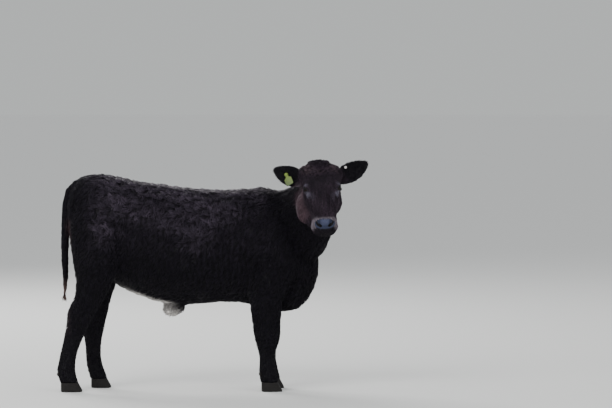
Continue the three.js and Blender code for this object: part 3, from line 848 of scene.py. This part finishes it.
def bladesOn(lines, side, widths, steps):
    rings = len(steps) - 1
    lift = unit(np.cross(side, np.gradient(lines, axis=1)))
    span = (np.interp(steps, blade["at"], blade["wide"])[None] * widths[:, None])[:, :, None]
    ring = np.stack([
        lines - side * span / 2 - lift * span * blade["under"],
        lines + side * span / 2 - lift * span * blade["under"],
        lines + lift * span * blade["ridge"],
    ], 2)
    verts = np.concatenate([ring[:, :-1].reshape(len(lines), -1, 3), lines[:, -1:]], 1)
    along = np.append(np.repeat(steps[:-1], 3), 1)
    across = np.append(np.tile((0.0, 1.0, 0.5), rings), 0.5)
    tris = [(0, 2, 1)]
    for k in range(rings - 1):
        for i in range(3):
            j = (i + 1) % 3
            p, q = 3 * k + i, 3 * k + j
            tris += [(p, q, q + 3), (p, q + 3, p + 3)]
    last = 3 * (rings - 1)
    tris += [(last + i, last + (i + 1) % 3, 3 * rings) for i in range(3)]
    return verts, np.array(tris), along, across


def meshFrom(name, verts, tris):
    mesh = bpy.data.meshes.new(name)
    mesh.vertices.add(len(verts))
    mesh.vertices.foreach_set("co", verts.astype(np.float32).ravel())
    mesh.loops.add(tris.size)
    mesh.loops.foreach_set("vertex_index", tris.astype(np.int32).ravel())
    mesh.polygons.add(len(tris))
    mesh.polygons.foreach_set("loop_start", np.arange(0, tris.size, 3, dtype=np.int32))
    mesh.polygons.foreach_set("use_smooth", np.ones(len(tris), bool))
    mesh.update(calc_edges=True)
    piece = bpy.data.objects.new(name, mesh)
    bpy.context.collection.objects.link(piece)
    return piece


def bladePiece(name, verts, tris):      # the piece, and the point at each corner of its faces
    every = (tris[None] + verts.shape[1] * np.arange(len(verts))[:, None, None]).reshape(-1, 3)
    return meshFrom(name, verts.reshape(-1, 3), every), every.ravel()


def setUvs(mesh, name, values):
    layer = mesh.uv_layers.new(name=name)
    layer.data.foreach_set("uv", values.astype(np.float32).ravel())


def setShades(mesh, values):
    layer = mesh.color_attributes.new(name="shade", type="FLOAT_COLOR", domain="POINT")
    layer.data.foreach_set("color", values.astype(np.float32).ravel())


# markings and painted light, the same for skin and coat: colour at the root and at the tips

# colours of hair and skin; some paint light and shade: the pale topline tips and the pink tips at
# the rump's hind edge are painted rim light, the light band on the nose pad is a painted highlight,
# the rim colour also serves as painted rim light on the right jaw and under the ear, and the black
# also paints the shade inside the nostrils
hide = {
    "dark": (0.0043, 0.0033, 0.0062), "darkTip": (0.0090, 0.0070, 0.0122),
    "brown": (0.021, 0.0155, 0.0240), "brownTip": (0.116, 0.091, 0.128),
    "black": (0.0016, 0.0013, 0.0016), "white": (0.84, 0.80, 0.77), "paintedBacklight": (0.44, 0.40, 0.43),
    "face": (0.0180, 0.0120, 0.0190), "faceTip": (0.084, 0.055, 0.080),
    "curls": (0.145, 0.099, 0.112), "cheek": (0.160, 0.098, 0.118),
    "rim": (0.27, 0.232, 0.268), "lilac": (0.195, 0.178, 0.240),
    "pad": (0.018, 0.023, 0.050), "padHighlight": (0.044, 0.051, 0.096),
    "rust": (0.25, 0.16, 0.135), "rump": (0.038, 0.026, 0.030), "rimLightPink": (0.14, 0.080, 0.086),
}
patches = {                            # middle and reach, mm, on the head but for the navel
    "navel": ((-92, 0, 412), (78, 46, 46)),
    "curlsRight": ((36, -66, -14), (44, 48, 60)), "curlsLeft": ((36, 62, -14), (44, 44, 60)),
    "curlsFront": ((66, 0, 10), (26, 80, 40)),
    "bridge": ((245, 4, 20), (95, 24, 50)),
    "litUnderEar": ((108, -116, -120), (60, 26, 70)), "litJawEdge": ((180, -138, -160), (80, 22, 70)),
    "forehead": ((112, 0, 8), (48, 84, 50)), "crown": ((8, -4, 0), (48, 66, 50)),
    "brow": ((132, 84, -22), (22, 24, 24)), "underEye": ((180, 76, -36), (22, 26, 26)),
    "innerEye": ((205, 55, -20), (40, 24, 24)),
    "litUnderTag": ((116, -148, -108), (32, 30, 52)),
}


def mixTo(colour, name, amount):
    return colour + amount[:, None] * (np.array(hide[name]) - colour)


def ripple(local, size, seed):         # soft blotches between 0 and 1
    grain = np.random.default_rng(seed)
    total = np.zeros(len(local))
    for _ in range(5):
        way = grain.normal(0, 1, 3) / size
        total += np.sin(local @ way * 2.2 + grain.random() * 6.3)
    return 0.5 + 0.5 * np.clip(total / 2.6, -1, 1)


def markingsAndLight(points, share, up):
    body, local = toBody(points), toHead(points)
    x, y, z = body.T
    amount = {name: share[:, k] for k, name in enumerate(styleNames)}
    flesh = amount["face"] + amount["cheek"] + amount["poll"]
    blotch = ripple(body, 60, 3)
    fine = ripple(body, 22, 5)
    base = np.tile(np.array(hide["dark"]), (len(points), 1))
    tip = np.tile(np.array(hide["darkTip"]), (len(points), 1))

    def lay(amount, root, rootShare, end, endShare):   # one colour at the roots, one at the tips
        return mixTo(base, root, rootShare * amount), mixTo(tip, end, endShare * amount)

    def patch(name, where=local):
        return nearness(*patches[name], where)

    # lighter, worn hair over back, loin and withers, and along the topline a painted backlight
    # highlight: pale tips where the hair faces up
    worn = amount["back"] + 0.18 * amount["side"] * ramp(640, 860, z)
    worn = worn + 0.5 * amount["neck"] * ramp(1000, 1180, z)
    worn = worn * (0.35 + 0.65 * blotch) * ramp(-640, -420, x)
    base, tip = lay(worn, "brown", 1, "brownTip", 0.35 + 0.65 * fine)
    # painted highlight: backlit pale tips on the topline, where the hair faces up
    top = ramp(0.80, 0.97, up) * (amount["back"] + 0.6 * amount["neck"])
    top = top * ramp(-430, -330, x) * ramp(990, 1050, z) * ramp(90, 35, np.abs(y))
    tip = mixTo(tip, "paintedBacklight", top * (0.16 + 0.3 * blotch + 0.3 * fine))
    # painted rim light: the hind edge of the rump and thigh is paler at the roots and pink at the
    # tips
    rimLitRear = ramp(-610, -650, x) * (amount["thigh"] + amount["side"] + amount["back"])
    rimLitRear = rimLitRear * ramp(960, 860, z)
    base, tip = lay(rimLitRear, "rump", 1, "rimLightPink", ramp(480, 600, z))
    # pale line of the belly, the navel and the tail's tip
    line = amount["belly"] * ramp(84, 52, np.abs(y)) * ramp(-30, -120, x) * ramp(-430, -360, x)
    base, tip = lay(line, "white", 0.75, "white", 0.85)
    pale = np.clip(patch("navel", body) * 1.6, 0, 1) * (amount["navel"] + amount["belly"])
    base, tip = lay(pale, "white", 1, "white", 1)
    base, tip = lay(amount["switch"] * ramp(640, 540, z), "rump", 1, "rust", 1)
    # face and poll
    front = amount["face"] + amount["cheek"] * ramp(25, 110, local[:, 0])
    streaks = ripple(local * np.array((0.18, 1, 0.5)), 9, 11)
    base, tip = lay(front, "face", 1, "faceTip", 0.25 + 0.75 * streaks)
    base, tip = lay(amount["poll"], "face", 0.6, "faceTip", 0.7)
    curls = 1.3 * patch("curlsRight") + 1.1 * patch("curlsLeft") + 0.5 * patch("curlsFront")
    tip = mixTo(tip, "curls", amount["poll"] * np.clip(curls, 0, 1) * (0.4 + 0.6 * fine))
    jaw = amount["cheek"] * ramp(20, -60, local[:, 1]) * ramp(35, 130, local[:, 0])
    base, tip = lay(jaw, "cheek", 0.5, "cheek", 0.8)
    tip = mixTo(tip, "cheek", 0.55 * front * patch("bridge"))
    # painted rim light: paler hair along the right jaw and under the right ear
    edge = np.clip(patch("litUnderEar") + 0.8 * patch("litJawEdge"), 0, 1)
    base, tip = lay(edge, "rim", 0.45, "rim", 0.8)
    shade = np.clip(amount["face"] * patch("forehead") + amount["poll"] * patch("crown"), 0, 1)
    base, tip = lay(shade, "dark", 0.7, "darkTip", 0.62)
    # pale hair over and under the eyes
    both = np.column_stack([local[:, 0], np.abs(local[:, 1]), local[:, 2]])
    ring = 0.7 * patch("brow", both) + 1.5 * patch("underEye", both) + 0.4 * patch("innerEye", both)
    base, tip = lay(np.clip(ring, 0, 1) * flesh, "lilac", 0.7, "lilac", 0.85)
    # paler hair round the bare nose, dark chin
    across, down = screenPlace(local)
    out = np.sqrt((across / nosePad["halfWide"]) ** 2 + (down / 32) ** 2)
    low = ramp(12, 24, down) * ramp(64, 50, np.abs(across))
    wide = 1.3 + 0.3 * ramp(20, 50, np.abs(across))
    collar = ramp(wide, wide - 0.25, out) * ramp(308, 334, local[:, 0]) * ramp(60, 38, down)
    base, tip = lay(collar * flesh * (1 - low), "rim", 0.75, "rim", 0.85)
    base, tip = lay(low * ramp(300, 320, local[:, 0]) * flesh, "dark", 0.85, "darkTip", 0.8)
    nose = padMask(local)
    base = mixTo(base, "pad", nose)
    # painted highlight: a lighter patch high in the middle of the nose pad
    lit = ramp(34, 8, np.abs(across)) * ramp(-30, -22, down) * ramp(16, -8, down)
    base = mixTo(base, "padHighlight", nose * lit)
    # painted light: a sunlit patch of paler hair near the base of the right ear, below the tag
    base, tip = lay(patch("litUnderTag"), "rim", 0.5, "rim", 0.85)
    return base, tip


base, tip = markingsAndLight(points, weights, normals[:, 2])
bareness = np.clip(pad + rims, 0, 1)
# painted shade: the insides of the nostrils are painted black
pit = np.clip(2.4 * nostrilShade, 0, 1)
base = base * (0.55 + 0.45 * bareness)[:, None]      # painted shade: skin under the coat darkened, so the gaps between the locks look deep
base = mixTo(mixTo(base, "dark", rims), "black", pit)
setShades(skin.data, np.concatenate([base, (bareness * (1 - pit))[:, None]], 1))

rootBase, rootTip = markingsAndLight(roots, share, rootNormals[:, 2])
bake = {"patch": 0.003}                # side of a lock's own patch on the unwrap
pick = (rng.random((count, 1)) > share.cumsum(1)).sum(1).clip(0, len(styleNames) - 1)
coatParts = []
total = 0
for name, (regions, rings) in coatPieces.items():
    chosen = np.isin(pick, [styleNames.index(r) for r in regions])
    if name.endswith("_right"):
        chosen &= body[:, 1] < 0
    if name.endswith("_left"):
        chosen &= body[:, 1] >= 0
    chosen = np.nonzero(chosen)[0]
    verts, tris, along, across = locksOf(chosen, rings)
    each = verts.shape[1]
    piece, flat = bladePiece(name, verts, tris)
    patch = rootUvs[chosen][:, None] + (np.stack([across, along], 1)[None] - 0.5) * bake["patch"]
    setUvs(piece.data, "OFBake", patch.reshape(-1, 2)[flat])
    lock = np.tile(np.stack([across, along], 1), (len(chosen), 1))
    lock[:, 0] += np.repeat(np.floor(lockTone[chosen] * 97) * 3, each)   # its own noise
    setUvs(piece.data, "lock", lock[flat])
    # each lock's tone varies at random, and the rows add streaks of painted sheen over the ribs
    toneAndSheen = (0.6 + 0.55 * lockTone + 0.4 * (clumpTone - 0.5) + 0.4 * rows)[chosen][:, None, None]
    toTip = (along ** 1.5)[None, :, None]
    colour = (rootBase[chosen][:, None] * (1 - toTip) + rootTip[chosen][:, None] * toTip) * toneAndSheen
    colour = colour * (0.55 + 0.45 * np.minimum(1, along * 2.2))[None, :, None]     # painted shade: locks darker towards their roots, deep in the coat
    solid = np.broadcast_to(lockTone[chosen][:, None, None], colour.shape[:2] + (1,))
    setShades(piece.data, np.concatenate([colour, solid], 2).reshape(-1, 4))
    coatParts.append(piece)
    total += len(flat) // 3
    print(name, len(chosen), "locks", len(flat) // 3, "triangles")
print("coat", total, "triangles")

# materials

def newGroup(name, inputs, outputs):
    tree = bpy.data.node_groups.new(name, "ShaderNodeTree")
    for way, sockets in (("INPUT", inputs), ("OUTPUT", outputs)):
        for label, kind in sockets.items():
            tree.interface.new_socket(label, in_out=way, socket_type="NodeSocket" + kind)
    source = tree.nodes.new("NodeGroupInput")
    sink = tree.nodes.new("NodeGroupOutput")
    source.location, sink.location = (-900, 0), (500, 0)
    return tree, source, sink


def put(tree, kind, place, values=None, **settings):
    node = tree.nodes.new("ShaderNode" + kind)
    node.location = place
    for key, value in settings.items():
        setattr(node, key, value)
    for key, value in (values or {}).items():
        node.inputs[key].default_value = value
    return node


def blend(tree, place, values, kind="RGBA"):
    return put(tree, "Mix", place, values, data_type=kind)


def remap(tree, place, low, high, start=0.0, end=1.0):   # low to high becomes start to end
    values = {"From Min": low, "From Max": high, "To Min": start, "To Max": end}
    return put(tree, "MapRange", place, values)


def wires(tree, *rows):                # from a node's outlet to another's inlet
    for start, outlet, end, inlet in rows:
        tree.links.new(start.outputs[outlet], end.inputs[inlet])


# hairs within a lock, from its own map
strands, source, sink = newGroup(
    "hair strands", {"Lock": "Vector"}, {"Brightness": "Float", "Height": "Float"})
spread = put(strands, "VectorMath", (-650, 0), {1: (5.0, 0.9, 1.0)}, operation="MULTIPLY")
noise = put(strands, "TexNoise", (-400, 0), {"Scale": 1.6, "Detail": 2.0})
bright = remap(strands, (-150, 0), 0.3, 0.7, 0.62, 1.4)
wires(
    strands,
    (source, "Lock", spread, 0), (spread, 0, noise, "Vector"), (noise, "Fac", bright, "Value"),
    (bright, "Result", sink, "Brightness"), (noise, "Fac", sink, "Height"),
)

# short hair and the pores of bare skin, from the place on the body
shortHair, source, sink = newGroup(
    "short hair", {"Position": "Vector", "Bare": "Float"},
    {"Brightness": "Float", "Roughness": "Float", "Height": "Float"})
stretch = put(shortHair, "Mapping", (-650, 150), {"Scale": (420, 420, 75)})
fibres = put(shortHair, "TexNoise", (-400, 150), {"Scale": 1.0, "Detail": 3.0})
pebbles = put(shortHair, "TexVoronoi", (-400, -150), {"Scale": 420.0}, feature="SMOOTH_F1")
height = blend(shortHair, (-100, 0), {}, "FLOAT")
bright = remap(shortHair, (-100, 250), 0.3, 0.7, 0.75, 1.25)
moist = remap(shortHair, (-100, -300), 0.0, 1.0, 0.72, 0.36)
wires(
    shortHair,
    (source, "Position", stretch, "Vector"), (source, "Position", pebbles, "Vector"),
    (stretch, "Vector", fibres, "Vector"), (source, "Bare", height, "Factor"),
    (fibres, "Fac", height, "A"), (pebbles, "Distance", height, "B"),
    (fibres, "Fac", bright, "Value"), (source, "Bare", moist, "Value"),
    (bright, "Result", sink, "Brightness"), (moist, "Result", sink, "Roughness"),
    (height, "Result", sink, "Height"),
)

# horn in growth rings
growth, source, sink = newGroup(
    "growth rings", {"Position": "Vector"}, {"Color": "Color", "Height": "Float"})
rings = put(
    growth, "TexWave", (-500, 0),
    {"Scale": 42.0, "Distortion": 2.2, "Detail": 2.0, "Detail Scale": 9.0}, bands_direction="Z")
grain = put(growth, "TexNoise", (-500, -300), {"Scale": 60.0, "Detail": 4.0})
tint = blend(
    growth, (-150, -100), {"A": (0.004, 0.0036, 0.0036, 1), "B": (0.015, 0.0125, 0.0115, 1)})
wires(
    growth,
    (source, "Position", rings, "Vector"), (source, "Position", grain, "Vector"),
    (grain, "Fac", tint, "Factor"), (tint, "Result", sink, "Color"), (rings, "Fac", sink, "Height"),
)

# worn moulded plastic
plastic, source, sink = newGroup(
    "worn plastic", {"Position": "Vector", "Color": "Color"},
    {"Color": "Color", "Roughness": "Float", "Height": "Float"})
grime = put(plastic, "TexNoise", (-500, 0), {"Scale": 55.0, "Detail": 5.0})
patch = remap(plastic, (-250, 0), 0.5, 0.75, 0.0, 0.55)
soiled = blend(plastic, (0, 0), {"B": (0.10, 0.085, 0.055, 1)})
dull = remap(plastic, (0, -250), 0.0, 1.0, 0.38, 0.7)
wires(
    plastic,
    (source, "Position", grime, "Vector"), (grime, "Fac", patch, "Value"),
    (patch, "Result", soiled, "Factor"), (source, "Color", soiled, "A"),
    (grime, "Fac", dull, "Value"), (soiled, "Result", sink, "Color"),
    (dull, "Result", sink, "Roughness"), (grime, "Fac", sink, "Height"),
)


def newMaterial(name, values):
    material = bpy.data.materials.new(name)
    material.use_nodes = True
    shader = material.node_tree.nodes["Principled BSDF"]
    for key, value in values.items():
        shader.inputs[key].default_value = value
    return material, material.node_tree, shader


def withGroup(tree, group):
    return put(tree, "Group", (-500, 0), node_tree=group)


def bumped(tree, shader, start, strength, distance):   # from the group's height
    bump = put(tree, "Bump", (-200, -300), {"Strength": strength, "Distance": distance})
    wires(tree, (start, "Height", bump, "Height"), (bump, "Normal", shader, "Normal"))


def shaded(tree, shader, hairs):       # the colours kept with the mesh, lit by the hairs
    shade = put(tree, "VertexColor", (-900, 300), layer_name="shade")
    lit = put(tree, "VectorMath", (-250, 200), operation="SCALE")
    wires(
        tree,
        (shade, "Color", lit, 0), (hairs, "Brightness", lit, "Scale"),
        (lit, 0, shader, "Base Color"),
    )
    return shade


coatLook = {"roughness": 0.55, "specular": 0.15, "bump": 0.5, "depth": 0.0008}
coatMaterial, tree, shader = newMaterial(
    "coat hair", {"Roughness": coatLook["roughness"], "Specular IOR Level": coatLook["specular"]})
lockMap = put(tree, "UVMap", (-900, 0), uv_map="lock")
hairs = withGroup(tree, strands)
wires(tree, (lockMap, "UV", hairs, "Lock"))
shaded(tree, shader, hairs)
bumped(tree, shader, hairs, coatLook["bump"], coatLook["depth"])

hideLook = {"specular": 0.24, "bump": 0.45, "depth": 0.0007}
hideMaterial, tree, shader = newMaterial("hide", {"Specular IOR Level": hideLook["specular"]})
place = put(tree, "TexCoord", (-900, 0))
hairs = withGroup(tree, shortHair)
shade = shaded(tree, shader, hairs)
wires(
    tree,
    (place, "Object", hairs, "Position"), (shade, "Alpha", hairs, "Bare"),
    (hairs, "Roughness", shader, "Roughness"),
)
bumped(tree, shader, hairs, hideLook["bump"], hideLook["depth"])

hornLook = {"roughness": 0.55, "specular": 0.2, "bump": 0.6, "depth": 0.0012}
hornMaterial, tree, shader = newMaterial(
    "hoof horn", {"Roughness": hornLook["roughness"], "Specular IOR Level": hornLook["specular"]})
place = put(tree, "TexCoord", (-800, 0))
horn = withGroup(tree, growth)
wires(tree, (place, "Object", horn, "Position"), (horn, "Color", shader, "Base Color"))
bumped(tree, shader, horn, hornLook["bump"], hornLook["depth"])

for part in coatParts:
    part.data.materials.append(coatMaterial)
    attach(part, "root")
skin.data.materials.append(hideMaterial)
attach(skin, "root")
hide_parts(*fleshNames)
print("coat dressed")


# eyes

eyeShape = {
    "bulge": 0.035, "iris": 0.86, "pupilLong": 0.46, "pupilHigh": 0.24,    # shares of the width
    "brown": (0.004, 0.0025, 0.002, 1), "brownLight": (0.016, 0.009, 0.006, 1),
    # the pupil's slight blue is a painted sheen
    "pupil": (0.0015, 0.0018, 0.003, 1), "white": (0.010, 0.007, 0.006, 1),
}
eyeMaterial, tree, shader = newMaterial("eye", {
    "Roughness": 0.12, "Coat Weight": 0.06, "Coat Roughness": 0.03, "Specular IOR Level": 0.1,
})
pupilSize = (2 / eyeShape["pupilLong"], 2 / eyeShape["pupilHigh"], 0)
irisSize = (2 / eyeShape["iris"], 2 / eyeShape["iris"], 0)
place = put(tree, "UVMap", (-1300, 0), uv_map="iris")
centred = put(tree, "VectorMath", (-1100, 0), {1: (0.5, 0.5, 0)}, operation="SUBTRACT")
toPupil = put(tree, "VectorMath", (-900, 150), {1: pupilSize}, operation="MULTIPLY")
toIris = put(tree, "VectorMath", (-900, -150), {1: irisSize}, operation="MULTIPLY")
pupilOut = put(tree, "VectorMath", (-700, 150), operation="LENGTH")
irisOut = put(tree, "VectorMath", (-700, -150), operation="LENGTH")
pupilEdge = remap(tree, (-500, 150), 0.85, 1.1)
irisEdge = remap(tree, (-500, -150), 0.92, 1.08)
fibres = put(tree, "TexNoise", (-700, 400), {"Scale": 34.0, "Detail": 3.0})
brown = blend(tree, (-500, 400), {"A": eyeShape["brown"], "B": eyeShape["brownLight"]})
withPupil = blend(tree, (-300, 200), {"A": eyeShape["pupil"]})
withWhite = blend(tree, (-150, 0), {"B": eyeShape["white"]})
wires(
    tree,
    (place, "UV", centred, 0), (place, "UV", fibres, "Vector"),
    (centred, 0, toPupil, 0), (centred, 0, toIris, 0),
    (toPupil, 0, pupilOut, 0), (toIris, 0, irisOut, 0),
    (pupilOut, "Value", pupilEdge, "Value"), (irisOut, "Value", irisEdge, "Value"),
    (fibres, "Fac", brown, "Factor"), (pupilEdge, "Result", withPupil, "Factor"),
    (brown, "Result", withPupil, "B"), (withPupil, "Result", withWhite, "A"),
    (irisEdge, "Result", withWhite, "Factor"), (withWhite, "Result", shader, "Base Color"),
)

for side, (gaze, along, down) in gazes.items():
    size = pose["eyeRadius"] * mm
    bpy.ops.mesh.primitive_uv_sphere_add(segments=64, ring_count=40, radius=size)
    ball = bpy.context.object
    ball.name = "eyeball_" + side
    spots = pointsOf(ball.data)
    spots = spots * (1 + eyeShape["bulge"] * ramp(0.72, 0.95, spots[:, [2]] / size))
    axes = np.stack([along, down, gaze])
    if np.linalg.det(axes) < 0:
        axes[1] = -axes[1]
    setPoints(ball.data, spots @ axes + eyeMiddle[side])
    setUvs(ball.data, "iris", 0.5 + spots[cornersOf(ball.data)][:, :2] / size / 2)
    pickOnly(ball)
    bpy.ops.object.shade_smooth()
    ball.data.materials.append(eyeMaterial)
    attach(ball, "root")
    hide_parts("eye_" + side)

# lashes on the upper lids
lashShape = {"count": 34, "length": 0.0125, "width": 0.0009, "spread": 0.84, "droop": 0.55}
steps = np.linspace(0, 1, 4)
lines, sides = [], []
for side, (gaze, along, down) in gazes.items():
    for t in np.linspace(-1, 1, lashShape["count"]) * lashShape["spread"]:
        rim = pose["eyeRadius"] + lids["edge"]
        arch = (1 - abs(t) ** lids["power"]) ** (1 / lids["power"])
        flat = t * lids["length"] * along - 1.08 * lids["above"] * arch * down
        root = flat + math.sqrt(rim ** 2 - flat @ flat) * gaze
        way = unit(unit(root) + 0.35 * t * along)
        long = lashShape["length"] * (1 - 0.35 * abs(t)) * (0.8 + 0.4 * rng.random())
        droop = lashShape["droop"] * (steps - 1.25 * steps ** 2)[:, None]
        curve = steps[:, None] * way + droop * down
        lines.append(eyeMiddle[side] + root * mm * 0.98 + curve * long)
        sides.append(np.tile(along, (4, 1)))
widths = np.full(len(lines), lashShape["width"])
verts, tris, along, across = bladesOn(np.array(lines), np.array(sides), widths, steps)
lashes, flat = bladePiece("lashes", verts, tris)
setShades(lashes.data, np.tile(hide["black"] + (1,), (len(lashes.data.vertices), 1)))
# each lash has its own small patch on a grid of nine by nine
spot = np.tile(np.stack([across, along], 1), (len(lines), 1, 1)) * 0.05
spot += np.stack([np.arange(len(lines)) % 9, np.arange(len(lines)) // 9], 1)[:, None] * 0.11 + 0.03
setUvs(lashes.data, "OFBake", spot.reshape(-1, 2)[flat])
setUvs(lashes.data, "lock", spot.reshape(-1, 2)[flat] * 20)
lashes.data.materials.append(coatMaterial)
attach(lashes, "root")
print("eyes set")


# hooves and dewclaws

hoofShape = {"voxel": 0.0026, "rounds": 10, "clawScale": 0.84, "clawSunk": 0.004, "sole": 0.0016}


def rounded(names, label, sunk=0):
    piece = joined([copyOfNode(name) for name in names], label)
    finished(piece, "REMESH", mode="VOXEL", voxel_size=hoofShape["voxel"])
    spots = pointsOf(piece.data)
    spots = relaxed(spots, edgesOf(piece.data), hoofShape["rounds"], np.ones(len(spots)))
    spots = evened(spots, edgesOf(piece.data), 3)
    if sunk:                           # smaller, and deeper in the hair
        label = islands(len(spots), edgesOf(piece.data))
        for island in np.unique(label):
            own = label == island
            middle = spots[own].mean(0)
            inward = np.array(skinTree.find_nearest(middle)[0]) - middle
            smaller = (spots[own] - middle) * hoofShape["clawScale"]
            spots[own] = middle + smaller + unit(inward) * sunk
    spots[:, 2] = np.where(spots[:, 2] < hoofShape["sole"], 0, spots[:, 2])
    setPoints(piece.data, spots)
    pickOnly(piece)
    bpy.ops.object.shade_smooth()
    piece.data.materials.append(hornMaterial)
    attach(piece, "root")
    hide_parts(*names)


toes = [leg + place for leg in legNames for place in ("_inner", "_outer")]
rounded(["claw_" + toe for toe in toes], "hooves")
rounded(["dewclaw_" + toe for toe in toes], "dewclaws", hoofShape["clawSunk"])
print("hooves set")


# ear tags

tagShape = {"edge": 0.0006, "specular": 0.45, "bump": 0.12, "depth": 0.0003}
tagColours = {                         # upper edge, lower edge; the lower is darker, as painted shade
    "yellow": ((0.155, 0.225, 0.024, 1), (0.062, 0.092, 0.036, 1)),
    "white": ((0.78, 0.75, 0.74, 1), (0.70, 0.66, 0.65, 1)),
}
for name, colour in zip(tagNames, ("yellow", "yellow", "white")):
    tag = copyOfNode(name)
    tag.name = "worn_" + name
    finished(tag, "BEVEL", width=tagShape["edge"], segments=2, limit_method="ANGLE")
    bpy.ops.object.shade_smooth_by_angle(angle=math.radians(35))
    material, tree, shader = newMaterial(
        "tag " + name, {"Specular IOR Level": tagShape["specular"]})
    place = put(tree, "TexCoord", (-1350, 0))
    surface = withGroup(tree, plastic)
    low, high = [corner[2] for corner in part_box(name)]
    level = put(tree, "SeparateXYZ", (-1150, 250))
    rise = remap(tree, (-950, 250), low, high)
    # painted shade: the colour darkens from the upper edge down to the lower
    shadeDownwards = blend(tree, (-720, 250), {"A": tagColours[colour][1], "B": tagColours[colour][0]})
    wires(
        tree,
        (place, "Object", level, 0), (level, "Z", rise, "Value"), (rise, "Result", shadeDownwards, "Factor"),
        (shadeDownwards, "Result", surface, "Color"), (place, "Object", surface, "Position"),
        (surface, "Color", shader, "Base Color"), (surface, "Roughness", shader, "Roughness"),
    )
    bumped(tree, shader, surface, tagShape["bump"], tagShape["depth"])
    tag.data.materials.append(material)
    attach(tag, "root")
    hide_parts(name)
print("tags set")


# floor and light

studio = {
    "floor": (0.74, 0.74, 0.72, 1), "floorSize": 900,
    "light": (0.74, 0.76, 0.78, 1), "lightStrength": 0.95,
    "wall": (0.598, 0.62, 0.617, 1), "wallStrength": 0.925,     # what the camera sees
    "aim": (0, 0, 0.7),                # of the lamps
}
floorMaterial, tree, shader = newMaterial(
    "pale floor", {"Base Color": studio["floor"], "Roughness": 0.9})
bpy.ops.mesh.primitive_plane_add(size=studio["floorSize"])
floor = bpy.context.object
floor.name = "floor"
floor.data.materials.append(floorMaterial)

lamps = {
    "key": {"at": (-4.5, -7.5, 6.5), "size": 5.0, "power": 620},
    "fill": {"at": (6.5, -8.0, 3.5), "size": 6.0, "power": 260},
    "back": {"at": (-4.0, 6.5, 6.0), "size": 4.5, "power": 620},
}
for name, lamp in lamps.items():
    bpy.ops.object.light_add(type="AREA", location=lamp["at"])
    light = bpy.context.object
    light.name = name
    light.data.energy = lamp["power"]
    light.data.size = lamp["size"]
    aim = Vector(studio["aim"]) - light.location
    light.rotation_euler = aim.to_track_quat("-Z", "Y").to_euler()
world = bpy.data.worlds.new("studio")
world.use_nodes = True
tree = world.node_tree
sky = tree.nodes["Background"]
sky.inputs["Color"].default_value = studio["light"]
sky.inputs["Strength"].default_value = studio["lightStrength"]
wall = put(
    tree, "Background", (0, -200), {"Color": studio["wall"], "Strength": studio["wallStrength"]})
rays = put(tree, "LightPath", (0, 400))
seen = put(tree, "MixShader", (250, 200))
wires(
    tree,
    (rays, "Is Camera Ray", seen, 0), (sky, 0, seen, 1), (wall, 0, seen, 2),
    (seen, 0, tree.nodes["World Output"], "Surface"),
)
bpy.context.scene.world = world
print("stage set")
